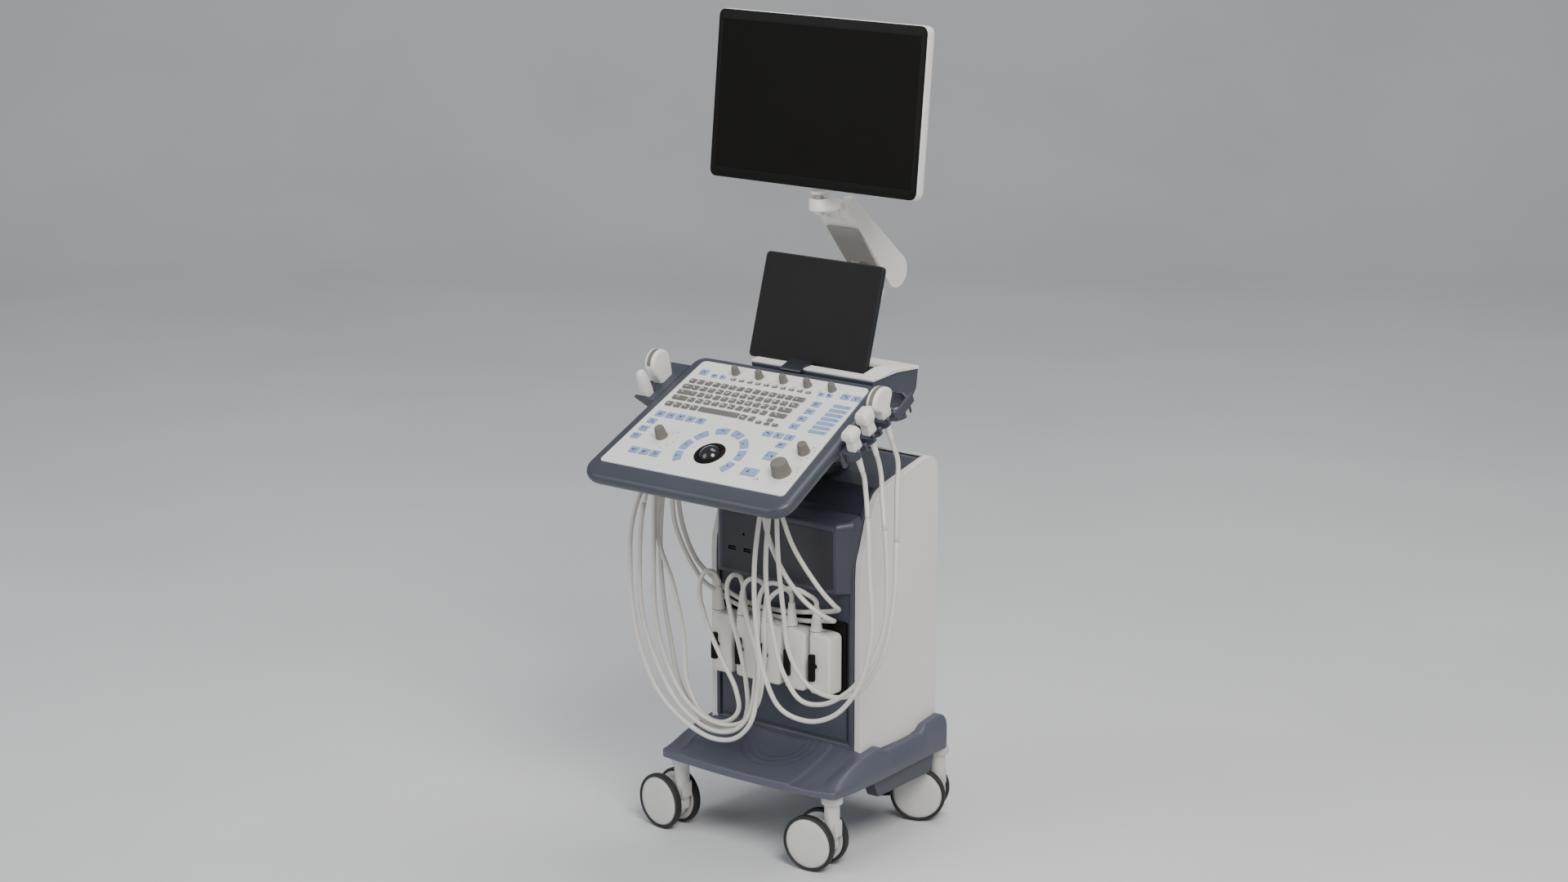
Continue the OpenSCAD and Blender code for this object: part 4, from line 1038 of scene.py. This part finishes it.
# ---------- knobs ----------
# u, v, radius, height
KNOBS = {
    "encoder_knob_1": (-93, 128, 7.6, 16), "encoder_knob_2": (-41.5, 128, 7.6, 16),
    "encoder_knob_3": (10.5, 128, 7.6, 16), "encoder_knob_4": (62, 128, 7.6, 16),
    "encoder_knob_5": (114, 128, 7.6, 16), "mode_knob": (-120, -62, 10.8, 21),
    "gain_knob": (165, -36, 10.8, 20), "depth_knob": (158, -94, 17, 24),
}


def knobs():
    for name, (u, v, r, tall) in KNOBS.items():
        flutes = 14 if r < 10 else 18 if r < 15 else 24
        top = 0.76 * r if r < 15 else 0.84 * r
        profile = [(0.1, 1.4, 0), (r, 1.4, 0), (r + 0.1, 3.2, 0), (r - 0.4, 3.8, 0), (r - 0.5, 4.6)]
        profile += [(top + 0.2, tall * 0.94), (top - 0.2, tall), (top - 1.2, tall + 0.9, 0)]
        profile += [(top * 0.5, tall + 1.0, 0), (0.1, tall + 1.0, 0)]
        cap = lathe(profile, (u, v, 0), "z", flutes * 6, flutes, 0.75)
        piece(f"{name}_cap", [cap], "knob", name, name, DECK, angle=50)
        skirt = [(r + 0.4, 1.2), (r + 1.5, 1.2), (r + 1.3, 1.7), (r + 0.4, 1.7)]
        piece(f"{name}_skirt", ring_of(skirt, (u, v, 0), "z", 48), "deck", "console", (), DECK)


# ---------- rear housing and touch panel ----------
def rear_housing():
    def part(name, shape, material, **look):
        piece(name, shape, material, "console", "rear_housing", **look)

    slant = prism([(-86, 0), (-122, 180), (-190, 180), (-190, 0)], 780, 880)
    cuts = [box(-131, 49, 839, 131, 108, 880), slant]
    under = [(32.4, 821.5), (24.6, 846.4), (94, 850.2), (140, 847), (161, 845.6), (156, 812)]
    under = rounded(under + [(146, 799.2), (60, 799.2)], [2, 2, 0, 0, 2, 10, 14, 10])
    part("rear_housing_body", prism(under, -168, 168, "x"), "slate", bevel=1.5, cuts=cuts)
    cap = [(25.4, 846.5), (24.6, 850.6), (50, 851.6), (84, 858), (140, 853), (160.6, 851.6)]
    cap += [(161, 845.7), (94, 850.7)]
    part("rear_housing_cap", prism(cap, -170, 170, "x"), "white", bevel=1.2, cuts=cuts)
    floor = prism([(-92, 49.2), (-102, 107.8), (130.8, 107.8), (130.8, 49.2)], 837.5, 839.2)
    part("rear_housing_pocket_floor", floor, "white", bevel=0.4)
    turret = [(12.2, 812), (35, 812), (36, 813), (36, 849.6), (34.6, 851), (12.2, 851)]
    part("arm_turret", ring_of(turret, TURRET, "z", 72), "white", angle=25)


def bracket():
    def part(name, shape, **look):
        piece(name, shape, "bracket", "console", "touch_bracket", bevel=1.0, **look)

    lower = [(34, 839.3), (92, 839.3), (92, 841.4), (63, 841.4), (54, 844), (52.5, 857), (47, 858.5)]
    lower += [(17, 848.5), (15, 844.5), (22, 843)]
    lower = rounded(lower, [0, 0.8, 0.8, 3, 2, 2.5, 4, 3, 1, 1])
    part("touch_bracket_plate", [prism(lower, -22, 22, "x")])
    ear = [(76, 840.6), (90, 840.6), (90, 858), (86, 862), (81, 862), (77, 852)]
    ear = rounded(ear, [0, 0, 3, 3, 3, 3])
    pin = rod(3, -30, 30, TOUCH_HINGE, "x", 32)
    for side, name in SIDES:
        part(f"touch_bracket_ear_{name}", beside(ear, side, 12.5, 22), cuts=[pin])


def touch_panel():
    def part(name, shape, material, **look):
        piece(name, shape, material, "touch_panel", "touch_panel", TOUCH, **look)

    low, high = -15.6, 171.8
    shell = prism(rect(-127, low, 125.5, high, 9, 6), -17.4, -8.65, "y")
    part("touch_panel_shell", shell, "panel_edge", bevel=1.6, segments=4)
    glass = prism(rect(-125, low + 2, 123.5, high - 2, 7.4, 6), -17.75, -16.5, "y")
    part("touch_panel_glass", glass, "panel", bevel=0.3, segments=2)
    foot = rounded([(-8.7, -1.5), (2.4, -1.5), (2.4, 9), (-8.7, 14)], [0, 2, 3, 0])
    back = [prism(rect(-40, 20, 40, 140, 8, 5), -8.8, 0, "y"), prism(foot, -11.5, 11.5, "x")]
    back += [rod(5, -11.5, 11.5, axis="x", n=40), rod(2.95, -21.5, 21.5, axis="x", n=32)]
    back += [prism(rect(x, 40, x + 4, 120, 1.8), -0.4, 0.6, "y") for x in (-24, -12, 0, 12)]
    part("touch_panel_back", back, "panel_edge", bevel=0.8)


# ---------- probe racks ----------
# place along the deck and half width of the cable slot of each cup on the right
CUPS = ((12, 6.8), (57, 6.8), (103, 6.8))
SPARE = (222, 151.5, 0)


def racks():
    def part(name, shape, node="right_rack", **look):
        piece(name, shape, "slate", "console", node, DECK, **look)

    rings = []
    for h, pull in ((-27, 33), (-25, 31), (-6, 3.5), (-3.6, 0.8), (-2.4, 0.2), (-2, 1.0)):
        outline = [(-205, 27.4), (-251 + pull, 27.4), (-246 + pull, 133), (-200, 133)]
        rings.append([(x, y, h) for x, y in rounded(outline, [0, 3, 5, 0], 4)])
    slots = [prism(rect(-262, low, -219, high, 3), -40, 5) for low, high in ((34, 54), (76, 104))]
    part("left_rack_tray", loft(rings), "left_rack", bevel=0.6, cuts=slots, angle=25)
    rail = rounded([(210.5, -8), (217.5, -8), (215.5, 172), (203, 166)], [2, 3, 5, 2])
    bore = rod(19.5, -60, 30, SPARE, n=64)
    part("right_rack_rail", prism(rail, -44, -14), bevel=1.2, cuts=[bore])
    lip = rounded([(243.6, -27), (249.8, -22), (250.4, -9), (244.6, -8), (243.4, -15)], [2, 3, 2, 2, 0])
    web = [(213, -38), (218, -38), (244, -27), (246, -19), (213, -19)]
    for k, (v, slot) in enumerate(CUPS):
        gap = [(226, v - slot), (262, v - slot), (262, v + slot), (226, v + slot)]
        gap = prism(rounded(gap, [6, 0, 0, 6]), -60, 0)
        shelf = [(213, v - 16), (240, v - 15), (249.5, v - 13), (249.5, v + 13), (240, v + 15), (213, v + 16)]
        shapes = {
            "shelf": prism(rounded(shelf, [0, 5, 2, 2, 5, 0]), -20, -14.5),
            "lip": prism(lip, v - 13, v + 13, "y"),
            "web": prism(web, v - 14, v + 14, "y"),
        }
        for name, shape in shapes.items():
            part(f"right_cup_{k + 1}_{name}", shape, bevel=1.2, cuts=[gap])
    # wider open holder behind the cups, its wall cut on a slant
    wall = [(19.6, -46), (22, -46), (23, -44.6), (23, -3.4), (22, -2), (20.4, -2), (19.6, -3)]
    slant = Matrix.Translation((SPARE[0], SPARE[1], -15)) @ Matrix.Rotation(0.62, 4, "Y")
    cuts = [moved(box(-60, -60, 0, 60, 60, 60), slant), box(228, 144.5, -60, 262, 158.5, 24)]
    cuts += [box(150, 100, -27.9, half(130) + 0.5, 200, 24), box(150, 151, -17, 262, 200, 24)]
    part("spare_holder_wall", ring_of(wall, SPARE, "z", 96), cuts=cuts, angle=30)
    ledge = [(213, 120), (249.5, 116), (245, 172), (238, 176), (213, 174)]
    ledge = prism(rounded(ledge, [0, 3, 5, 4, 0]), -30, -26)
    part("spare_holder_ledge", ledge, bevel=1.0, cuts=[bore, box(228, 144.5, -60, 240, 158.5, 24)])
    edge = prism(rounded([(245.5, 114), (250.5, 114), (246.5, 172), (241.5, 172)], 1.5), -30, -12)
    part("spare_holder_edge", edge, bevel=1.0)


# ---------- probes ----------
def level(w, d, h, r):
    """A rounded cross section of a grip, w along the deck and d across it, at height h."""
    return [(x, y, h) for x, y in rect(-d / 2, -w / 2, d / 2, w / 2, min(r, w / 2.05, d / 2.05), 6)]


def grip_of(*sizes):
    """A shape lofted through levels given as (w, d, h, r)."""
    return loft([level(*size) for size in sizes])


def strain(top):
    """A short ribbed strain relief that ends at top."""
    profile = [(0.1, -14), (4.6, -14), (5.2, -13.4), (5.6, -11), (5.2, -10.4), (6.2, -7), (5.8, -6.4)]
    profile += [(8.2, 0.4), (0.1, 0.4)]
    return lathe([(r, top + h) for r, h in profile], n=32)


def long_relief(top, low=-60):
    """A long tapered sleeve on the cable, between the cup and the free cable."""
    profile = [(0.1, low), (4.6, low), (5.0, low + 8), (5.7, low + 22), (6.2, top - 10), (6.2, top + 0.5)]
    return lathe(profile + [(0.1, top + 0.5)], n=32)


def probe_part(name, part, shapes, place, material="white", **look):
    piece(f"{name}_{part}", shapes, material, name, name, place, **look)


def convex(name, place, outline, centre, reach, deep, turn):
    """Fan-shaped head with a dark band over its curved face, which spans the angles in turn."""
    head = prism(outline, -deep / 2, deep / 2, "x")
    probe_part(name, "head", head, place, bevel=5.0, segments=6, angle=40)
    face = arc(0, centre, reach + 0.2, turn[1], turn[0], 18) + arc(0, centre, reach - 4, turn[0], turn[1], 18)
    probe_part(name, "lens", prism(face, -4.2, 4.2, "x"), place, "knob", bevel=0.6)


def fan(dome, right_side, radii):
    """Outline of a fan-shaped head: a dome over two mirrored sides, each given from the dome down."""
    left_side = [(-x, y) for x, y in reversed(right_side)]
    outline = rounded([*left_side, dome[0]], [0, *reversed(radii), 0], 6) + dome[1:-1]
    return outline + rounded([dome[-1], *right_side], [0, *radii, 0], 6)


def probes():
    for name, v, top in (("probe_right_1", 12, 26), ("probe_right_2", 57, 32)):
        place = DECK @ Matrix.Translation((233, v, 0))
        grip = grip_of(
            (20, 16.5, -14.2, 3), (22, 18, -12.5, 3), (22, 18, -8, 3), (20, 17, 2, 3), (20.5, 18, 6, 3),
            (28, 22, 11.5, 3), (28.5, 22.5, 13, 3), (28.5, 22.5, top - 7, 3), (27.5, 21.5, top - 5.8, 3),
            (24.5, 17.5, top - 0.8, 3), (23, 16, top, 3),
        )
        probe_part(name, "handle", [grip, long_relief(-14)], place, angle=24)
        lens = grip_of((21, 11, top - 0.4, 4), (21, 11, top + 0.4, 4), (19.5, 9.6, top + 0.8, 4))
        probe_part(name, "lens", lens, place, "warm", angle=40)

    name, place = "probe_right_convex", DECK @ Matrix.Translation((233, 103, 0))
    outline = fan(arc(0, 12, 30, 158, 22, 18), [(26, 16), (12, 2), (12, -8)], [9, 8])
    convex(name, place, outline, 12, 30, 21, (30, 150))
    grip = grip_of((22, 17, -14.2, 4), (24, 18.5, -12, 4), (24.5, 19, -6, 4), (23, 19, 0, 4), (22, 19, 6, 4))
    probe_part(name, "handle", [grip, long_relief(-14)], place, angle=24)

    name, place = "probe_left_convex", DECK @ Matrix.Translation((-231, 90, 0))
    outline = fan(arc(0, 29, 25, 172, 8, 20), [(22.5, 18), (17, -2), (15, -12)], [20, 12])
    convex(name, place, outline, 29, 25, 22, (62, 158))
    grip = grip_of((22, 18, -70, 8), (25, 20, -50, 7), (27, 21, -10, 6), (28, 21, -2, 6))
    probe_part(name, "handle", [grip, strain(-70)], place, angle=24)

    name, place = "probe_left_small", DECK @ Matrix.Translation((-231, 43.5, 0))
    grip = grip_of(
        (15, 13, -66, 6), (18, 16, -50, 5), (19, 17, -4, 5), (20, 17, 8, 5), (19, 16.4, 24, 6),
        (18, 15.6, 34, 7), (16, 14, 40.5, 7), (12, 10.5, 44, 5), (7, 6, 45, 3),
    )
    probe_part(name, "handle", [grip, strain(-66)], place, angle=24)
    lens = grip_of((8, 6, 44.2, 3), (8, 6, 45, 3), (6.4, 4.6, 45.3, 2))
    probe_part(name, "lens", lens, place, "warm", angle=40)


# ---------- monitor arm ----------
def arm():
    def part(name, shape, body, **look):
        piece(name, shape, "paint", body, body, **look)

    y, z = ELBOW[1:]
    foot = [(0.1, 851.2), (32, 851.2), (33, 852.2), (33, 861), (31.5, 864), (0.1, 864)]
    stem = [(0.1, 818), (11.4, 818), (12, 819), (12, 852), (0.1, 852)]
    part("lower_arm_foot", [lathe(foot, TURRET, n=72), lathe(stem, TURRET)], "lower_arm", angle=30)
    groove = ring_of([(33.1, 854.5), (33.5, 854.5), (33.5, 856), (33.1, 856)], TURRET, n=72)
    piece("lower_arm_foot_groove", groove, "dark", "lower_arm")
    fin = prism([(160, 858), (212, 858)] + arc(y, z, 20, -35, 145, 14), -21.5, 21.5, "x")
    bore = rod(8.05, -60, 60, ELBOW, "x")
    part("lower_arm_fin", fin, "lower_arm", bevel=3.0, segments=4, cuts=[bore])
    upper_arm(y, z)
    # nose that carries the monitor post, and the tongue between the arm's cheeks
    swivel = rod(9.2, 1090, 1150, POST)
    nose = arc(0, 98, 18, 180, 360, 18)
    nose += [(19, 103), (31, 117), (31, 123), (-31, 123), (-31, 117), (-19, 103)]
    under = prism([(70, 1100), (70, 1114), (104, 1113), (130, 1117), (130, 1100)], -40, 40, "x")
    cuts = [swivel, under, rod(26, -50, 50, (0, 130, 1151), "x", 64)]
    part("arm_head_nose", prism(nose, 1113, 1134), "arm_head", bevel=2.4, segments=4, cuts=cuts)
    tongue = [(112, 1128), (112, 1114), (128, 1104)] + arc(146, 1112, 13, -110, 60, 10)
    tongue = prism(tongue + [(146, 1126), (138, 1125), (124, 1125)], -21.5, 21.5, "x")
    cuts = [swivel, rod(5.1, -50, 50, HEAD_HINGE, "x", 32)]
    part("arm_head_tongue", tongue, "arm_head", bevel=2.0, cuts=cuts)
    post = [(0.1, 1112), (9, 1112), (9, 1134), (7.6, 1134.8), (7.6, 1140.6), (9.2, 1141.4), (9.2, 1143)]
    post = lathe(post + [(0.1, 1143)], POST)
    piece("neck_post", post, "steel", "monitor_neck", "monitor_neck", angle=30)
    strap = [(112, 1142), (141, 1142), (144, 1146), (144, 1226), (138, 1238), (130, 1242)]
    strap = rounded(strap, [0, 5, 3, 6, 5, 5])
    strap += rounded([(122, 1232), (134, 1222), (134, 1150), (112, 1149)], [3, 5, 5, 0])
    knuckle = [(0.1, -15), (9.2, -15), (10, -14.2), (10, 14.2), (9.2, 15), (0.1, 15)]
    neck = [prism(arc(0, 98, 14, 180, 360, 16) + [(14, 122), (-14, 122)], 1142, 1148)]
    neck += [prism(strap, -13, 13, "x"), lathe(knuckle, TILT_HINGE, "x", 40)]
    part("neck_arm", neck, "monitor_neck", bevel=1.2, angle=35)


def upper_arm(y, z):
    """Upper arm: a wide round elbow, a straight beam and a slim upper end, with a dark panel along its
    underside as painted shade.
    """
    elbow = arc(y + 4.5, z, 30, -136, 46, 22)
    tip = rounded([(160, 1133), (142, 1134), (128, 1119), (128, 1107), (142, 1091)], [8, 9, 5, 3, 6])
    lower_gap = prism([(215, 930), (215, 1000), (240, 1022), (292, 1022), (308, 930)], -22, 22, "x")
    upper_gap = prism([(105, 1075), (141, 1080), (176, 1112), (166, 1160), (105, 1160)], -22, 22, "x")
    # the underside runs from a to b
    a, b = Vector(elbow[0]), Vector((142, 1091))
    along_arm = (b - a).normalized()
    inward = Vector((along_arm.y, -along_arm.x))

    def strip(start, end, deep, out, low, high):
        """A plate along the underside, from deep inside it to out from it."""
        corners = [start + inward * deep, end + inward * deep, end + inward * out, start + inward * out]
        return prism([tuple(p) for p in corners], low, high, "x")

    c, d = a + along_arm * 24, b - along_arm * 26
    e, f = b - along_arm * 24, b - along_arm * 11
    # a thin dark panel along the underside: painted shade where the arm shades itself
    cover = strip(c, d, 4.5, 2.6, -30.8, 35.3)
    name = "upper_arm"
    piece("upper_arm_painted_shade_panel", cover, "arm_cover", name, name, bevel=0.5, cuts=[lower_gap])
    cuts = [lower_gap, upper_gap, strip(c, d, 3.5, -2, -31, 35.5), strip(e, f, 3, -2, -13, 13)]
    verts, faces = prism(elbow + tip, -37.5, 37.5, "x")
    # the elbow end is a little wider towards the right
    shape = [(px + 6.5 * step((1100 - pz) / 110), py, pz) for px, py, pz in verts], faces
    piece("upper_arm_beam", shape, "paint", name, name, bevel=5.5, segments=6, cuts=cuts, angle=30)
    pins = [rod(8, -36, 36, ELBOW, "x", 40), rod(5, -35, 35, HEAD_HINGE, "x", 32)]
    piece("upper_arm_pins", pins, "steel", name, name)


# ---------- monitor ----------
MONITOR_WIDTH = 440
MONITOR_HEIGHT = 292


def panel_rings(steps, n=8):
    """Rings over the monitor's outline, each step being (y, inset, corner radius)."""
    w, h = MONITOR_WIDTH / 2, MONITOR_HEIGHT / 2
    return [[(x, y, z) for x, z in rect(e - w, e - h, w - e, h - e, r, n)] for y, e, r in steps]


def monitor():
    def part(name, shape, material="white", node="monitor_housing", place=MONITOR, **look):
        piece(name, shape, material, "monitor", node, place, **look)

    case = [(3.2, 0.8, 15), (4.0, 0.1, 15), (6, 0, 15), (19, 0, 15), (22.5, 0.8, 15), (24.3, 2.6, 14)]
    case = [(y, e, r - e * 0.5) for y, e, r in case + [(25.2, 6, 12)]]
    part("monitor_case", loft(panel_rings(case)), angle=40)
    bezel = loft(panel_rings([(3.4, 1.2, 14), (1.2, 0.7, 14), (0.5, 1.1, 14), (0.0, 2.2, 14)]))
    pocket = prism(rect(-209, -128.5, 209, 128.5, 1.5, 3), -3, 0.9, "y")
    part("monitor_bezel", bezel, "black", cuts=[pocket], angle=40)
    glass = prism(rect(-208.8, -128.3, 208.8, 128.3, 1.4, 3), 0.35, 1.2, "y")
    part("monitor_display", glass, "screen", "monitor_screen")
    bulge = []
    for y, e in ((24.8, 0), (31, 1.5), (35.5, 5), (37.6, 11), (38, 16)):
        bulge.append([(x, y, z) for x, z in rect(-120 + e, -26 + e, 120 - e, 110 - e, 12, 6)])
    vents = [box(-90, 36, 84 - 6 * i, 90, 42, 86.4 - 6 * i) for i in range(5)]
    part("monitor_back_cover", loft(bulge), cuts=vents, angle=40)
    lugs = []
    for x0, x1 in ((-27, -15.5), (15.5, 27)):
        knuckle = [(0.1, x0), (9.4, x0), (10, x0 + 0.8), (10, x1 - 0.8), (9.4, x1), (0.1, x1)]
        lugs += [moved(prism(rect(25, -76, 38, -50, 4, 4), x0, x1, "x"), MONITOR)]
        lugs += [lathe(knuckle, TILT_HINGE, "x", 40)]
    part("monitor_hinge_lugs", lugs, place=None, bevel=0.6, angle=40)
    ports = [box(-60 + 24 * i, 24.6, -118, -44 + 24 * i, 25.6, -110) for i in range(5)]
    part("monitor_port_covers", ports, "dark", (), bevel=0.3)


# ---------- stage ----------
def studio():
    """A pale floor that sweeps up behind the object."""
    floor, nodes, links, shader = tree("stage_floor")
    place = nodes.new("ShaderNodeTexCoord").outputs["Object"]
    tone = ramp(nodes, links, noise_at(nodes, links, place, 1.2), (0.60, 0.61, 0.62), (0.64, 0.65, 0.66))
    links.new(tone, shader.inputs["Base Color"])
    shader.inputs["Roughness"].default_value = 0.8
    sweep = [(-9, 0), (5.0, 0)] + arc(5.0, 2.5, 2.5, -90, 0, 24)[1:] + [(7.5, 9)]
    verts = [(x, y, z) for x in (-12, 12) for y, z in sweep]
    n = len(sweep)
    mesh = bpy.data.meshes.new("stage_sweep")
    mesh.from_pydata(verts, [], [(i, i + 1, n + i + 1, n + i) for i in range(n - 1)])
    mesh.materials.append(floor)
    obj = linked("stage_sweep", mesh)
    obj.rotation_euler = (0, 0, math.radians(37))


camera()
lights()
studio()
cables()
base()
casters()
column()
sockets()
console()
keys()
knobs()
rear_housing()
bracket()
touch_panel()
racks()
probes()
arm()
monitor()
